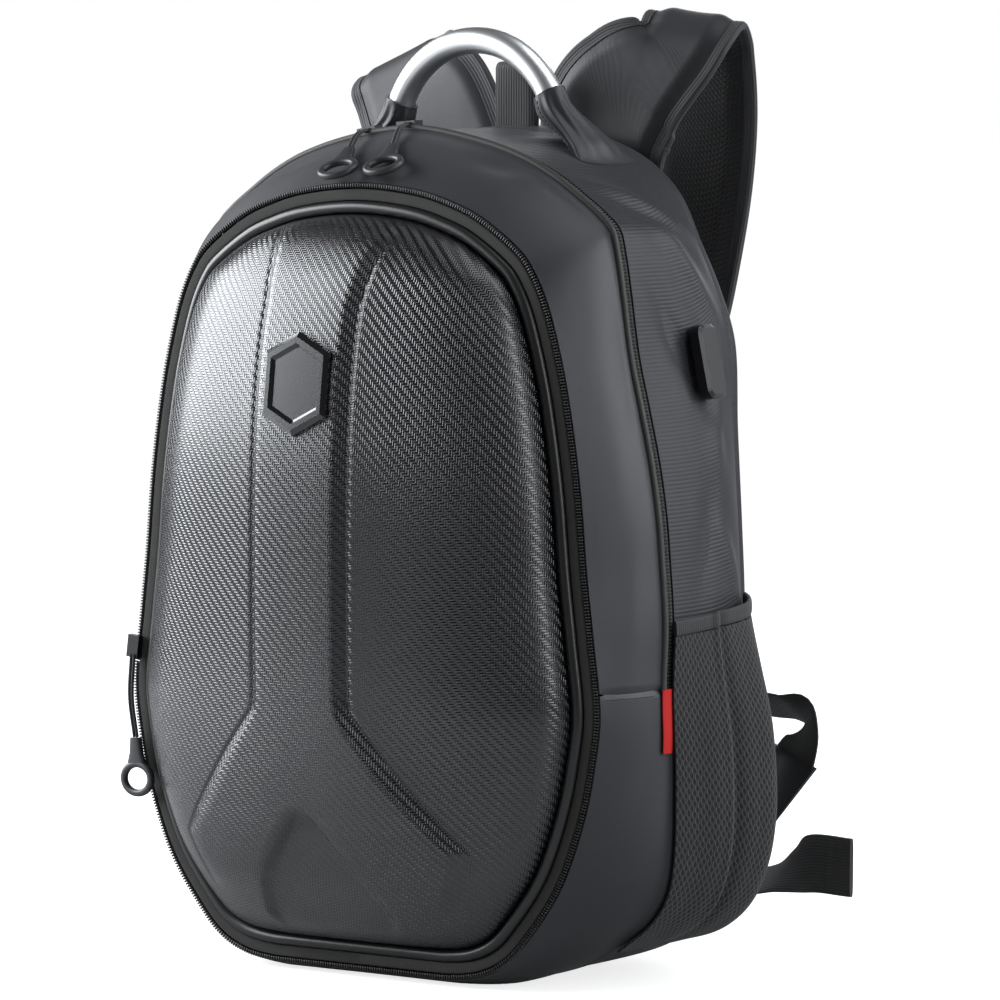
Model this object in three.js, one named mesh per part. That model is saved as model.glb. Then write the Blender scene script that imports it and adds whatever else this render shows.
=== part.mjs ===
// Hard shell backpack with a tube handle, standing on its own base.
// Millimetres, +Z up. The moulded front faces -Y, the wearer's back is at +Y and +X is the bag's
// left as worn. The origin is the middle of the flat underside.
import * as THREE from 'three';

// Body sizes
const ZIP_HALF_WIDTH = 175; // widest half width, at the main zip
const ZIP_FORWARD = 30; // main zip plane in front of the origin
const REAR_DEPTH = 105; // main zip plane to the rear seam
const REAR_HALF_WIDTH = 151;
const REAR_LIFT = 12; // rear seam above the floor
const BASE_FLAT = 0.65; // share of the way to the rear seam over which the base stays flat
const WALL_ROUNDING = 3.5; // how late the side walls turn in towards the rear seam
const BASE_ROUNDING = 2; // the same for the base behind its flat part
const ROOF_ROUNDING = 1.2; // the same for the roof, which rises almost evenly
const GUSSET_DEPTH = 55; // shell rim plane to the main zip plane
const GUSSET_BULGE = 4;
const SEAM_HEIGHT = 170; // cross seam between the upper and the lower gusset
const CLOTH = 2;
const GAP = 0.3; // clearance that keeps two seated pieces apart

// Shell and its rim
const RIM_HALF_WIDTH = 165.8;
const RIM_HEIGHT = 445.5;
const RIM_LIFT = 3.5; // rim above the floor
const ZIP_RISE = 29; // top of the main zip above the top of the rim
const ZIP_HEIGHT = RIM_LIFT + RIM_HEIGHT + ZIP_RISE;
const REAR_RISE = 2; // top of the rear seam above the top of the main zip
const REAR_HEIGHT = ZIP_HEIGHT + REAR_RISE - REAR_LIFT;
const TEETH_WIDTH = 3.4;
const TAPE_WIDTH = 6.4;
const PIPING_RADIUS = 3.5;
const TEETH_RISE = 1.1; // how far zip teeth stand out of their tape
const TAPE_THICKNESS = 1.6;
const SHELL_DEPTH = 56; // dome in front of the rim
const SHELL_WALL = 2.6;
const SHELL_SIDE_POWER = 2.4;
const SHELL_SIDE_ROUNDNESS = 0.55;
const SHELL_END_POWER = 3;
const SHELL_END_ROUNDNESS = 0.45;
const CENTRE_HALF_WIDTH = 30; // raised centre panel of the dome
const CENTRE_RAISE = 3.2;
const BEVEL_WIDTH = 7;
const VEE_SINK = 2.2; // sunk wedge below the centre panel
const VEE_BEVEL = 5;

// Main zip
const MAIN_TAPE_WIDTH = 9;
const MAIN_TEETH_WIDTH = 5.4;
const MAIN_TAPE_SINK = 1;

// Back panel
const PANEL_THICKNESS = 12;
const PANEL_EDGE = 10; // width of the panel's rounded border

// Side pockets
const POCKET_BOTTOM = 22;
const POCKET_HEM_FRONT = 199;
const POCKET_HEM_REAR = 207;
const POCKET_BULGE = 26;
const POCKET_EDGE_GAP = 1.6; // pocket's front and rear edges from the wall's seams
const POCKET_SEAT = 1.9; // pocket's sewn edges above the curve of the wall
const NET = 1.6; // pocket cloth thickness
const HEM_HEIGHT = 8.5;
const HEM_THICKNESS = 2.6;

// Small fittings
const LABEL_HEIGHT = 36;
const LABEL_WIDTH = 9;
const LABEL_THICKNESS = 1.2;
const LABEL_RISE = 134; // lower edge of the label above the floor
const PORT_WIDTH = 20;
const PORT_HEIGHT = 42;
const PORT_DEPTH = 9;
const PORT_RISE = 347; // middle of the charging port above the floor
const PORT_SHARE = 0.58; // where the port sits between the main zip and the rear seam
const BADGE_WIDTH = 44;
const BADGE_HEIGHT = 58;
const BADGE_THICKNESS = 4;
const BADGE_RISE = 338; // middle of the badge above the floor

// Handle and hang loop
const HANDLE_RADIUS = 59;
const HANDLE_TUBE = 15.5;
const HANDLE_RISE = 51; // middle of the tube at the top of the arch, above the main zip
const HANDLE_TOP = ZIP_HEIGHT + HANDLE_RISE;
const HANDLE_SHARE = 0.48; // place of the handle between the main zip and the rear seam
const HANDLE_OFFSET = 2; // the tube has slid this far across in its sleeves
const HANDLE_HIDDEN = 7; // angle of the tube's ends inside the sleeves, in degrees
// Angle from the top of the arch at which each cloth sleeve begins, in degrees
const SLEEVE_START = { right: 61, left: 66 };
const SLEEVE_CLOTH = 1.3;
const SLEEVE_FOOT = 84; // middle of a sleeve's foot, across
const SLEEVE_FOOT_LENGTH = 52;
const SLEEVE_FOOT_WIDTH = 12;
const SLEEVE_FOOT_BACK = 14; // how far the foot lies behind the tube
const LOOP_WIDTH = 25;
const LOOP_THICKNESS = 1.6;
const LOOP_HEIGHT = 37;
const LOOP_BEND = 4;
const LOOP_SHARE = 0.9;

// Shoulder straps
const STRAP_WIDTH = 80;
const STRAP_THICKNESS = 12;
const STRAP_RISE = 67; // crest of a strap above the main zip
const STRAP_TOP = ZIP_HEIGHT + STRAP_RISE;
const STRAP_REACH = 57; // how far a strap's middle swings out behind the back panel
const BUCKLE_WIDTH = 46;
const BUCKLE_HEIGHT = 26;
const BUCKLE_THICKNESS = 5;
const BUCKLE_SLOT = 3.5;
const BUCKLE_FRAME = 5; // plate beside each end of a slot
const BUCKLE_CORNER = 4;
const WEBBING_WIDTH = 34;
const WEBBING_THICKNESS = 1.8;
const WING_THICKNESS = 2;
const WING_SEAT = 3.4; // middle of a wing's cloth outside the rear seam
const WING_RISE = 54; // lowest stitch of a wing above the floor

// Zip pulls
const SLIDER_LENGTH = 13;
const SLIDER_WIDTH = 8;
const SLIDER_HEIGHT = 4;
const CORD_DIAMETER = 2.8;
const RING_WIDTH = 24;
const RING_HEIGHT = 21;
const RING_BAND = 4;
const RING_THICKNESS = 4;
const RING_NECK = 13;
const SHELL_PULL_RISE = 178; // the shell's slider above the floor
const SHELL_CORD = 46;
const SHELL_SWING = -0.05;
// Pulls of the main zip: name, place across, cord length, sideways swing
const MAIN_PULLS = [
  ['main_a', -34, 27, -0.33],
  ['main_b', -6, 23, -0.36],
];

// Planes and levels that follow from the sizes
const ZIP_Y = -ZIP_FORWARD;
const RIM_Y = ZIP_Y - GUSSET_DEPTH;
const REAR_Y = ZIP_Y + REAR_DEPTH;
const PANEL_Y = REAR_Y + GAP + PANEL_THICKNESS;

// Steps along an outline: base to cross seam, and cross seam to top
const LOWER_STEPS = 12;
const UPPER_STEPS = 20;
const SEAM_RIGHT = LOWER_STEPS;
const TOP_STEP = LOWER_STEPS + UPPER_STEPS;
const SEAM_LEFT = LOWER_STEPS + 2 * UPPER_STEPS;

// Outline rows from the middle of the base to the middle of the top: share of height, share of half width
const RIM_ROWS = [
  [0, 0], [0, 0.36], [0.008, 0.51], [0.028, 0.621], [0.066, 0.721], [0.129, 0.842],
  [0.217, 0.937], [0.284, 0.979], [0.345, 1], [0.441, 0.972], [0.522, 0.945], [0.623, 0.919],
  [0.71, 0.884], [0.775, 0.848], [0.852, 0.786], [0.89, 0.735], [0.915, 0.683], [0.96, 0.508],
  [0.978, 0.388], [0.991, 0.257], [1, 0],
];
const ZIP_ROWS = [
  [0, 0], [0, 0.32], [0.003, 0.46], [0.015, 0.6], [0.032, 0.726], [0.053, 0.81],
  [0.083, 0.915], [0.115, 0.972],
  [0.155, 0.994], [0.249, 1], [0.355, 0.99], [0.43, 0.997], [0.504, 0.983], [0.552, 0.971],
  [0.615, 0.943], [0.678, 0.903], [0.738, 0.863], [0.818, 0.829], [0.856, 0.811],
  [0.885, 0.789], [0.902, 0.743], [0.923, 0.663], [0.946, 0.566], [0.967, 0.446],
  [0.987, 0.257], [1, 0],
];
const REAR_ROWS = [
  [0, 0], [0, 0.45], [0.0125, 0.72], [0.048, 0.86], [0.1, 0.955], [0.183, 0.987], [0.29, 1],
  [0.425, 0.997], [0.521, 0.983], [0.63, 0.964], [0.741, 0.948], [0.801, 0.883],
  [0.861, 0.792], [0.917, 0.701], [0.957, 0.565], [0.983, 0.39], [0.996, 0.195], [1, 0],
];
const WALL_SHARES = [0, 0.35, 0.65, 0.85, 0.95, 1];
const GUSSET_SHARES = [0, 0.3, 0.7, 1];

// Crease lines of the dome: share of rim height, half width as a share of the centre panel's
const CREASE_ROWS = [
  [0.12, 4.1], [0.345, 1], [0.85, 1], [0.9, 1.1], [0.97, 1.4],
];
const VEE_ROWS = [
  [0.04, 1.7], [0.12, 1.25], [0.215, 0.12],
];

// Pocket rows: share of the way from front to rear, share of the bulge there
const POCKET_DEPTH_ROWS = [
  [0, 0], [0.1, 0.2], [0.27, 0.52], [0.31, 0.5], [0.48, 0.78], [0.66, 1], [0.8, 0.68],
  [0.92, 0.3], [1, 0],
];
// Pocket rows: share of the way from bottom to hem, share of the bulge there
const POCKET_RISE_ROWS = [
  [0, 0.02], [0.06, 0.3], [0.13, 0.56], [0.24, 0.84], [0.38, 1], [0.56, 0.98], [0.7, 0.88],
  [0.85, 0.62], [1, 0.25],
];

// Strap rows from root to buckle: across as a share of the half width at the main zip, behind as a
// share of the reach, up as a share of the crest, width share, and sideways tilt in degrees. The
// right strap stands up straight and the left one has sunk outwards.
const STRAP_ROWS = {
  right: [
    { across: 0.27, behind: 0, up: 0.8, width: 1.15, tilt: 33 },
    { across: 0.28, behind: 0, up: 0.885, width: 1.2, tilt: 36 },
    { across: 0.37, behind: 0.05, up: 0.925, width: 0.92, tilt: 31 },
    { across: 0.465, behind: 0.15, up: 0.96, width: 0.8, tilt: 19 },
    { across: 0.5, behind: 0.28, up: 0.985, width: 0.8, tilt: 9 },
    { across: 0.49, behind: 0.5, up: 1, width: 0.8, tilt: 7 },
    { across: 0.46, behind: 0.76, up: 0.985, width: 0.82, tilt: 4 },
    { across: 0.435, behind: 0.93, up: 0.945, width: 0.85, tilt: 2 },
    { across: 0.42, behind: 1, up: 0.89, width: 0.88, tilt: 0 },
    { across: 0.41, behind: 0.97, up: 0.82, width: 0.88, tilt: 0 },
    { across: 0.4, behind: 0.83, up: 0.74, width: 0.86, tilt: 0 },
    { across: 0.39, behind: 0.6, up: 0.66, width: 0.84, tilt: 0 },
    { across: 0.385, behind: 0.22, up: 0.59, width: 0.78, tilt: 0 },
    { across: 0.385, behind: 0, up: 0.525, width: 0.7, tilt: 0 },
  ],
  left: [
    { across: 0.343, behind: 0, up: 0.807, width: 1.15, tilt: 33 },
    { across: 0.506, behind: 0.05, up: 0.89, width: 1.25, tilt: 22 },
    { across: 0.6, behind: 0.12, up: 0.92, width: 1.05, tilt: 22 },
    { across: 0.662, behind: 0.25, up: 0.944, width: 0.97, tilt: 22 },
    { across: 0.685, behind: 0.5, up: 0.947, width: 0.95, tilt: 20 },
    { across: 0.685, behind: 0.76, up: 0.928, width: 0.9, tilt: 16 },
    { across: 0.657, behind: 0.93, up: 0.892, width: 0.88, tilt: 10 },
    { across: 0.601, behind: 1, up: 0.831, width: 0.88, tilt: 4 },
    { across: 0.541, behind: 0.97, up: 0.771, width: 0.88, tilt: 0 },
    { across: 0.48, behind: 0.83, up: 0.706, width: 0.86, tilt: 0 },
    { across: 0.434, behind: 0.6, up: 0.643, width: 0.84, tilt: 0 },
    { across: 0.4, behind: 0.22, up: 0.594, width: 0.78, tilt: 0 },
    { across: 0.385, behind: 0, up: 0.525, width: 0.7, tilt: 0 },
  ],
};

// Webbing rows: across as a share of the half width at the main zip, behind the panel as a share of
// the reach, height as a share of the buckle's height, and the direction of the band's width
const LOOP_ROWS = [
  { across: 0.385, behind: 0, up: 1.01, wide: [1, 0, 0] },
  { across: 0.39, behind: 0.01, up: 0.93, wide: [1, 0, 0.1] },
  { across: 0.45, behind: 0.1, up: 0.83, wide: [0.85, 0, 0.5] },
  { across: 0.57, behind: 0.26, up: 0.68, wide: [0.6, -0.4, 0.64] },
  { across: 0.74, behind: 0.4, up: 0.55, wide: [0.15, -0.8, 0.55] },
  { across: 0.87, behind: 0.46, up: 0.535, wide: [0.1, -0.85, 0.5] },
  { across: 0.95, behind: 0.42, up: 0.52, wide: [0.5, -0.6, 0.5] },
  { across: 0.96, behind: 0.33, up: 0.48, wide: [0.85, -0.35, 0.3] },
  { across: 0.925, behind: 0.27, up: 0.42, wide: [0.95, -0.2, -0.3] },
];
const TAIL_ROWS = [
  { across: 0.37, behind: 0.038, up: 1.01, wide: [1, 0, 0] },
  { across: 0.37, behind: 0.42, up: 0.82, wide: [1, 0, 0] },
  { across: 0.4, behind: 0.66, up: 0.54, wide: [0.95, 0.25, 0.1] },
  { across: 0.46, behind: 0.76, up: 0.28, wide: [0.6, 0.75, 0.3] },
  { across: 0.58, behind: 0.76, up: 0.15, wide: [0.1, 0.9, 0.4] },
  { across: 0.72, behind: 0.72, up: 0.155, wide: [0, 0.9, 0.42] },
  { across: 0.82, behind: 0.68, up: 0.18, wide: [0, 0.7, 0.7] },
  { across: 0.92, behind: 0.64, up: 0.2, wide: [0, 0.2, 1] },
  { across: 1.09, behind: 0.6, up: 0.2, wide: [0, 0, 1] },
];

// Colours
const MATERIALS = {
  shell: new THREE.MeshStandardMaterial({ color: 0x1b1d21, roughness: 0.38, metalness: 0.1 }),
  piping: new THREE.MeshStandardMaterial({ color: 0x1a1b1c, roughness: 0.35, metalness: 0 }),
  tape: new THREE.MeshStandardMaterial({ color: 0x2b2b28, roughness: 0.8, metalness: 0 }),
  teeth: new THREE.MeshStandardMaterial({ color: 0x0c0c0d, roughness: 0.5, metalness: 0 }),
  cloth: new THREE.MeshStandardMaterial({ color: 0x34353a, roughness: 0.7, metalness: 0 }),
  rib: new THREE.MeshStandardMaterial({ color: 0x2d2d31, roughness: 0.75, metalness: 0 }),
  net: new THREE.MeshStandardMaterial({ color: 0x202220, roughness: 0.9, metalness: 0 }),
  pad: new THREE.MeshStandardMaterial({ color: 0x2a2a2e, roughness: 0.75, metalness: 0 }),
  webbing: new THREE.MeshStandardMaterial({ color: 0x1d1d1d, roughness: 0.85, metalness: 0 }),
  label: new THREE.MeshStandardMaterial({ color: 0xc8301c, roughness: 0.6, metalness: 0 }),
  plastic: new THREE.MeshStandardMaterial({ color: 0x141416, roughness: 0.4, metalness: 0 }),
  badge: new THREE.MeshStandardMaterial({ color: 0x08080a, roughness: 0.12, metalness: 0.4 }),
  metal: new THREE.MeshStandardMaterial({ color: 0xd4d8da, roughness: 0.3, metalness: 0.9 }),
  rubber: new THREE.MeshStandardMaterial({ color: 0x3a3a3c, roughness: 0.6, metalness: 0 }),
};

const bag = new THREE.Group();
const { lerp, degToRad } = THREE.MathUtils;

function addPiece(name, geometry, material) {
  const mesh = new THREE.Mesh(geometry, material);
  mesh.name = name;
  bag.add(mesh);
  return mesh;
}

// Value of a two-column table at a place in its first column
function valueAt(rows, place) {
  const next = rows.findIndex((row) => row[0] >= place);
  if (next === 0) return rows[0][1];
  if (next < 0) return rows[rows.length - 1][1];
  const [low, high] = [rows[next - 1], rows[next]];
  return lerp(low[1], high[1], (place - low[0]) / (high[0] - low[0]));
}

// Points spread evenly along a polyline of Vector2
function spread(points, steps) {
  const lengths = [0];
  for (let i = 1; i < points.length; i++) {
    lengths.push(lengths[i - 1] + points[i].distanceTo(points[i - 1]));
  }
  const total = lengths[lengths.length - 1];
  return Array.from({ length: steps + 1 }, (_, step) => {
    const goal = (total * step) / steps;
    const next = Math.max(1, lengths.findIndex((length) => length >= goal - 1e-9));
    const share = (goal - lengths[next - 1]) / (lengths[next] - lengths[next - 1]);
    return points[next - 1].clone().lerp(points[next], share);
  });
}

// Closed outline in the XZ plane as Vector2 (across, up), from the middle of the base over the right
// side to the top and back down the left side, with a point on the cross seam on each side
function outline(rows, halfWidth, height, lift) {
  const right = rows.map(([up, across]) => new THREE.Vector3(across * halfWidth, lift + up * height, 0));
  const left = right.slice(1, -1).reverse().map((p) => new THREE.Vector3(-p.x, p.y, 0));
  const curve = new THREE.CatmullRomCurve3([...right, ...left], true, 'centripetal');
  const fineSteps = 400;
  const side = [];
  for (let i = 0; i <= fineSteps; i++) {
    const point = curve.getPoint(i / fineSteps / 2);
    side.push(new THREE.Vector2(point.x, Math.max(point.y, lift)));
  }
  const above = side.findIndex((p) => p.y >= SEAM_HEIGHT);
  const below = side[above - 1];
  const seam = below.clone().lerp(side[above], (SEAM_HEIGHT - below.y) / (side[above].y - below.y));
  const lower = spread([...side.slice(0, above), seam], LOWER_STEPS);
  const upper = spread([seam, ...side.slice(above)], UPPER_STEPS);
  const half = [...lower, ...upper.slice(1)];
  const mirrored = half.slice(1, -1).reverse().map((p) => new THREE.Vector2(-p.x, p.y));
  return [...half, ...mirrored];
}

// The same outline moved outwards by a distance
function grow(points, distance) {
  return points.map((point, i) => {
    const before = points[(i + points.length - 1) % points.length];
    const after = points[(i + 1) % points.length];
    const along = after.clone().sub(before).normalize();
    return new THREE.Vector2(point.x + along.y * distance, point.y - along.x * distance);
  });
}

function blend(first, second, acrossShare, upShare) {
  return first.map((point, i) => new THREE.Vector2(
    lerp(point.x, second[i].x, acrossShare),
    lerp(point.y, second[i].y, upShare(point)),
  ));
}

const onPlane = (point, y) => new THREE.Vector3(point.x, y, point.y);

// Closes a loft of loops: round in a ring, or open with a cap at each end
function loft(loops, ring) {
  const count = loops[0].length;
  const faces = [];
  const spans = ring ? loops.length : loops.length - 1;
  for (let i = 0; i < spans; i++) {
    const a = i * count;
    const b = ((i + 1) % loops.length) * count;
    for (let j = 0; j < count; j++) {
      const k = (j + 1) % count;
      faces.push([a + j, b + j, b + k], [a + j, b + k, a + k]);
    }
  }
  if (!ring) {
    const end = (loops.length - 1) * count;
    let low = 0;
    let high = count - 1;
    while (high - low > 1) {
      faces.push([low, low + 1, high], [end + low + 1, end + low, end + high]);
      low += 1;
      if (high - low > 1) {
        faces.push([low, high - 1, high], [end + high - 1, end + low, end + high]);
        high -= 1;
      }
    }
  }
  return outwardSolid(loops.flat(), faces);
}

// Geometry from points and faces, with the faces turned outwards
function outwardSolid(points, faces) {
  let volume = 0;
  for (const [a, b, c] of faces) {
    volume += points[a].dot(points[b].clone().cross(points[c]));
  }
  const index = faces.flatMap(([a, b, c]) => (volume > 0 ? [a, b, c] : [a, c, b]));
  const geometry = new THREE.BufferGeometry();
  geometry.setAttribute('position', new THREE.Float32BufferAttribute(points.flatMap((p) => p.toArray()), 3));
  geometry.setIndex(index);
  geometry.computeVertexNormals();
  return geometry;
}

// Loops across a wall: for each step of the outline, its outer row and then its inner row
function wallLoops(rings, ys, thickness) {
  const inner = rings.map((points) => grow(points, -thickness));
  return rings[0].map((_, i) => [
    ...rings.map((points, row) => onPlane(points[i], ys[row])),
    ...inner.map((points, row) => onPlane(points[i], ys[row])).reverse(),
  ]);
}

// The loops from one step of an outline to another, pulled in by half a seam gap at both ends
function stretchOf(loops, from, to) {
  const chosen = [];
  for (let i = from; i <= to; i++) {
    chosen.push(loops[i % loops.length]);
  }
  const pulled = (loop, towards) => loop.map((point, j) => {
    const length = point.distanceTo(towards[j]);
    return point.clone().lerp(towards[j], GAP / 2 / length);
  });
  const last = chosen.length - 1;
  return [pulled(chosen[0], chosen[1]), ...chosen.slice(1, -1), pulled(chosen[last], chosen[last - 1])];
}

// Outlines of the body
const rimOutline = outline(RIM_ROWS, RIM_HALF_WIDTH, RIM_HEIGHT, RIM_LIFT);
const zipOutline = outline(ZIP_ROWS, ZIP_HALF_WIDTH, ZIP_HEIGHT, 0);
const rearOutline = outline(REAR_ROWS, REAR_HALF_WIDTH, REAR_HEIGHT, REAR_LIFT);

function wallRow(share) {
  const baseShare = Math.max(0, (share - BASE_FLAT) / (1 - BASE_FLAT)) ** BASE_ROUNDING;
  const upShare = (point) => (point.y > SEAM_HEIGHT ? share ** ROOF_ROUNDING : baseShare);
  return blend(zipOutline, rearOutline, share ** WALL_ROUNDING, upShare);
}
const wallRings = WALL_SHARES.map(wallRow);
const wallStart = MAIN_TAPE_WIDTH / 2 + GAP;
const wallY = (share) => lerp(ZIP_Y + wallStart, REAR_Y, share);

// Outline of the rear wall at any depth: between two rows the cloth is straight
function wallRing(share) {
  const next = Math.max(1, WALL_SHARES.findIndex((row) => row >= share));
  const [low, high] = [WALL_SHARES[next - 1], WALL_SHARES[next]];
  const part = (share - low) / (high - low);
  return blend(wallRings[next - 1], wallRings[next], part, () => part);
}

// Right-hand point of the wall at a height, with the outward direction there
function wallPoint(share, up) {
  const points = wallRing(share);
  const next = points.findIndex((p, i) => i > 0 && p.y >= up && p.y > points[i - 1].y);
  const [low, high] = [points[next - 1], points[next]];
  const along = high.clone().sub(low).normalize();
  const point = low.clone().lerp(high, (up - low.y) / (high.y - low.y));
  return { point, out: new THREE.Vector2(along.y, -along.x) };
}

// Height of the roof at a place across and in depth
function roofHeight(across, share) {
  const points = wallRing(share).slice(SEAM_RIGHT, TOP_STEP + 1);
  const next = points.findIndex((p) => p.x <= Math.abs(across) && p.y > REAR_HEIGHT / 2);
  const [high, low] = [points[next], points[next - 1]];
  return lerp(high.y, low.y, (Math.abs(across) - high.x) / (low.x - high.x));
}

function addBody() {
  const loops = wallLoops(wallRings, WALL_SHARES.map(wallY), CLOTH);
  addPiece('rear_wall', loft(loops, true), MATERIALS.rib);

  const rows = GUSSET_SHARES.map((share) => {
    const plain = blend(rimOutline, zipOutline, share, () => share);
    const bulged = grow(plain, GUSSET_BULGE * Math.sin(Math.PI * share));
    bulged.forEach((point) => point.setY(Math.max(point.y, 0)));
    return bulged;
  });
  const front = RIM_Y + TAPE_THICKNESS + GAP;
  const upperEnd = ZIP_Y - MAIN_TAPE_WIDTH / 2 - GAP;
  const lowerEnd = ZIP_Y + wallStart - GAP;
  const upperLoops = wallLoops(rows, GUSSET_SHARES.map((share) => lerp(front, upperEnd, share)), CLOTH);
  const lowerLoops = wallLoops(rows, GUSSET_SHARES.map((share) => lerp(front, lowerEnd, share)), CLOTH);
  addPiece('gusset_upper', loft(stretchOf(upperLoops, SEAM_RIGHT, SEAM_LEFT), false), MATERIALS.cloth);
  const around = lowerLoops.length;
  const lowerLoft = loft(stretchOf(lowerLoops, SEAM_LEFT, around + SEAM_RIGHT), false);
  addPiece('gusset_lower', lowerLoft, MATERIALS.cloth);
}

// A band of rectangular section that runs along an outline
function bandLoops(points, outer, inner, front, rear) {
  const outerRing = grow(points, -outer);
  const innerRing = grow(points, -inner);
  return points.map((_, i) => [
    onPlane(outerRing[i], front),
    onPlane(outerRing[i], rear),
    onPlane(innerRing[i], rear),
    onPlane(innerRing[i], front),
  ]);
}

const TAPE_INSET = TEETH_WIDTH + GAP;
const PIPING_INSET = TAPE_INSET + TAPE_WIDTH + GAP + PIPING_RADIUS;
const SHELL_INSET = PIPING_INSET + PIPING_RADIUS + GAP;

function addRim() {
  const teeth = bandLoops(rimOutline, 0, TEETH_WIDTH, RIM_Y - TEETH_RISE, RIM_Y + TAPE_THICKNESS);
  addPiece('shell_zip_teeth', loft(teeth, true), MATERIALS.teeth);
  const tape = bandLoops(rimOutline, TAPE_INSET, TAPE_INSET + TAPE_WIDTH, RIM_Y, RIM_Y + TAPE_THICKNESS);
  addPiece('shell_zip_tape', loft(tape, true), MATERIALS.tape);
  const sides = 6;
  const rings = Array.from({ length: sides }, (_, side) => {
    const angle = (2 * Math.PI * (side + 0.5)) / sides;
    const points = grow(rimOutline, -PIPING_INSET + PIPING_RADIUS * Math.cos(angle));
    return { points, y: RIM_Y + PIPING_RADIUS * Math.sin(angle) };
  });
  const loops = rimOutline.map((_, i) => rings.map((row) => onPlane(row.points[i], row.y)));
  addPiece('shell_piping', loft(loops, true), MATERIALS.piping);
}

function addMainZip() {
  const half = MAIN_TAPE_WIDTH / 2;
  const tapeBack = MAIN_TAPE_SINK + TAPE_THICKNESS;
  const tape = bandLoops(zipOutline, MAIN_TAPE_SINK, tapeBack, ZIP_Y - half, ZIP_Y + half);
  addPiece('main_zip_tape', loft(stretchOf(tape, SEAM_RIGHT, SEAM_LEFT), false), MATERIALS.tape);
  const teethHalf = MAIN_TEETH_WIDTH / 2;
  const [front, rear] = [ZIP_Y - teethHalf, ZIP_Y + teethHalf];
  const teeth = bandLoops(zipOutline, -TEETH_RISE, MAIN_TAPE_SINK - GAP, front, rear);
  addPiece('main_zip_teeth', loft(stretchOf(teeth, SEAM_RIGHT, SEAM_LEFT), false), MATERIALS.teeth);
}

// Dome of the moulded shell
const shellOutline = grow(rimOutline, -SHELL_INSET);
const shellSide = shellOutline.slice(0, TOP_STEP + 1);
const SHELL_LOW = shellSide[0].y;
const SHELL_HIGH = shellSide[TOP_STEP].y;

function shellHalfWidth(up) {
  const rows = shellSide.filter((p, i) => i === 0 || p.y > shellSide[i - 1].y + 0.1).map((p) => [p.y, p.x]);
  rows[0][1] = shellSide.find((p, i) => shellSide[i + 1].y > p.y + 0.1).x;
  return valueAt(rows, up);
}

// Smooth bulge of the dome in front of the rim
function domeDepth(across, up) {
  const side = Math.min(1, Math.abs(across) / shellHalfWidth(up));
  const middle = (SHELL_LOW + SHELL_HIGH) / 2;
  const end = Math.min(1, Math.abs(up - middle) / (SHELL_HIGH - middle));
  const sideShape = (1 - side ** SHELL_SIDE_POWER) ** SHELL_SIDE_ROUNDNESS;
  return SHELL_DEPTH * sideShape * (1 - end ** SHELL_END_POWER) ** SHELL_END_ROUNDNESS;
}

// Columns of the dome on one side of its middle: place across and relief there
function shellColumns(up) {
  const halfWidth = shellHalfWidth(up);
  const share = (up - RIM_LIFT) / RIM_HEIGHT;
  const crease = Math.min(valueAt(CREASE_ROWS, share) * CENTRE_HALF_WIDTH, 0.72 * halfWidth);
  const bevel = Math.min(BEVEL_WIDTH, 0.2 * crease) / 2;
  const vee = Math.min(valueAt(VEE_ROWS, share) * CENTRE_HALF_WIDTH, 0.6 * crease);
  const veeBevel = Math.min(VEE_BEVEL, 0.4 * vee) / 2;
  const { smoothstep } = THREE.MathUtils;
  const fade = smoothstep(share, 0.1, 0.2) * (1 - smoothstep(share, 0.93, 0.98));
  const inVee = smoothstep(share, 0.03, 0.08) * (1 - smoothstep(share, 0.19, 0.22));
  const raise = CENTRE_RAISE * fade;
  const sunk = raise - VEE_SINK * inVee;
  return [
    [0, sunk],
    [vee - veeBevel, sunk],
    [vee + veeBevel, raise],
    [crease - bevel, raise],
    [crease + bevel, 0],
    [lerp(crease + bevel, halfWidth, 0.4), 0],
    [lerp(crease + bevel, halfWidth, 0.72), 0],
    [lerp(crease + bevel, halfWidth, 0.9), 0],
    [halfWidth, 0],
  ];
}

function addShell() {
  const levels = [SHELL_LOW];
  for (const point of shellSide) {
    if (point.y > levels[levels.length - 1] + 3 && point.x > CENTRE_HALF_WIDTH / 2) {
      levels.push(point.y);
    }
  }
  const loops = levels.map((up) => {
    const half = shellColumns(up);
    const mirrored = half.slice(1).reverse().map(([across, relief]) => [-across, relief]);
    const columns = [...mirrored, ...half];
    const frontOf = ([across, relief], inset) => {
      const depth = Math.max(domeDepth(across, up) + relief - inset, -inset);
      return new THREE.Vector3(across, RIM_Y - depth, up);
    };
    const outer = columns.map((column) => frontOf(column, 0));
    const inner = columns.map((column) => frontOf(column, SHELL_WALL)).reverse();
    return [...outer, ...inner];
  });
  addPiece('front_shell', loft(loops, false), MATERIALS.shell);
}

function addBackPanel() {
  const edge = grow(rearOutline, -GAP);
  const rows = [
    [edge, REAR_Y + GAP],
    [edge, REAR_Y + GAP + PANEL_THICKNESS / 3],
    [grow(edge, -PANEL_EDGE / 3), REAR_Y + GAP + (PANEL_THICKNESS * 5) / 6],
    [grow(edge, -PANEL_EDGE), PANEL_Y],
  ];
  const loops = rows.map(([points, y]) => points.map((point) => onPlane(point, y)));
  addPiece('back_panel', loft(loops, false), MATERIALS.pad);
}

const mirrorX = (points, side) => points.map((p) => new THREE.Vector3(side * p.x, p.y, p.z));

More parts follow.
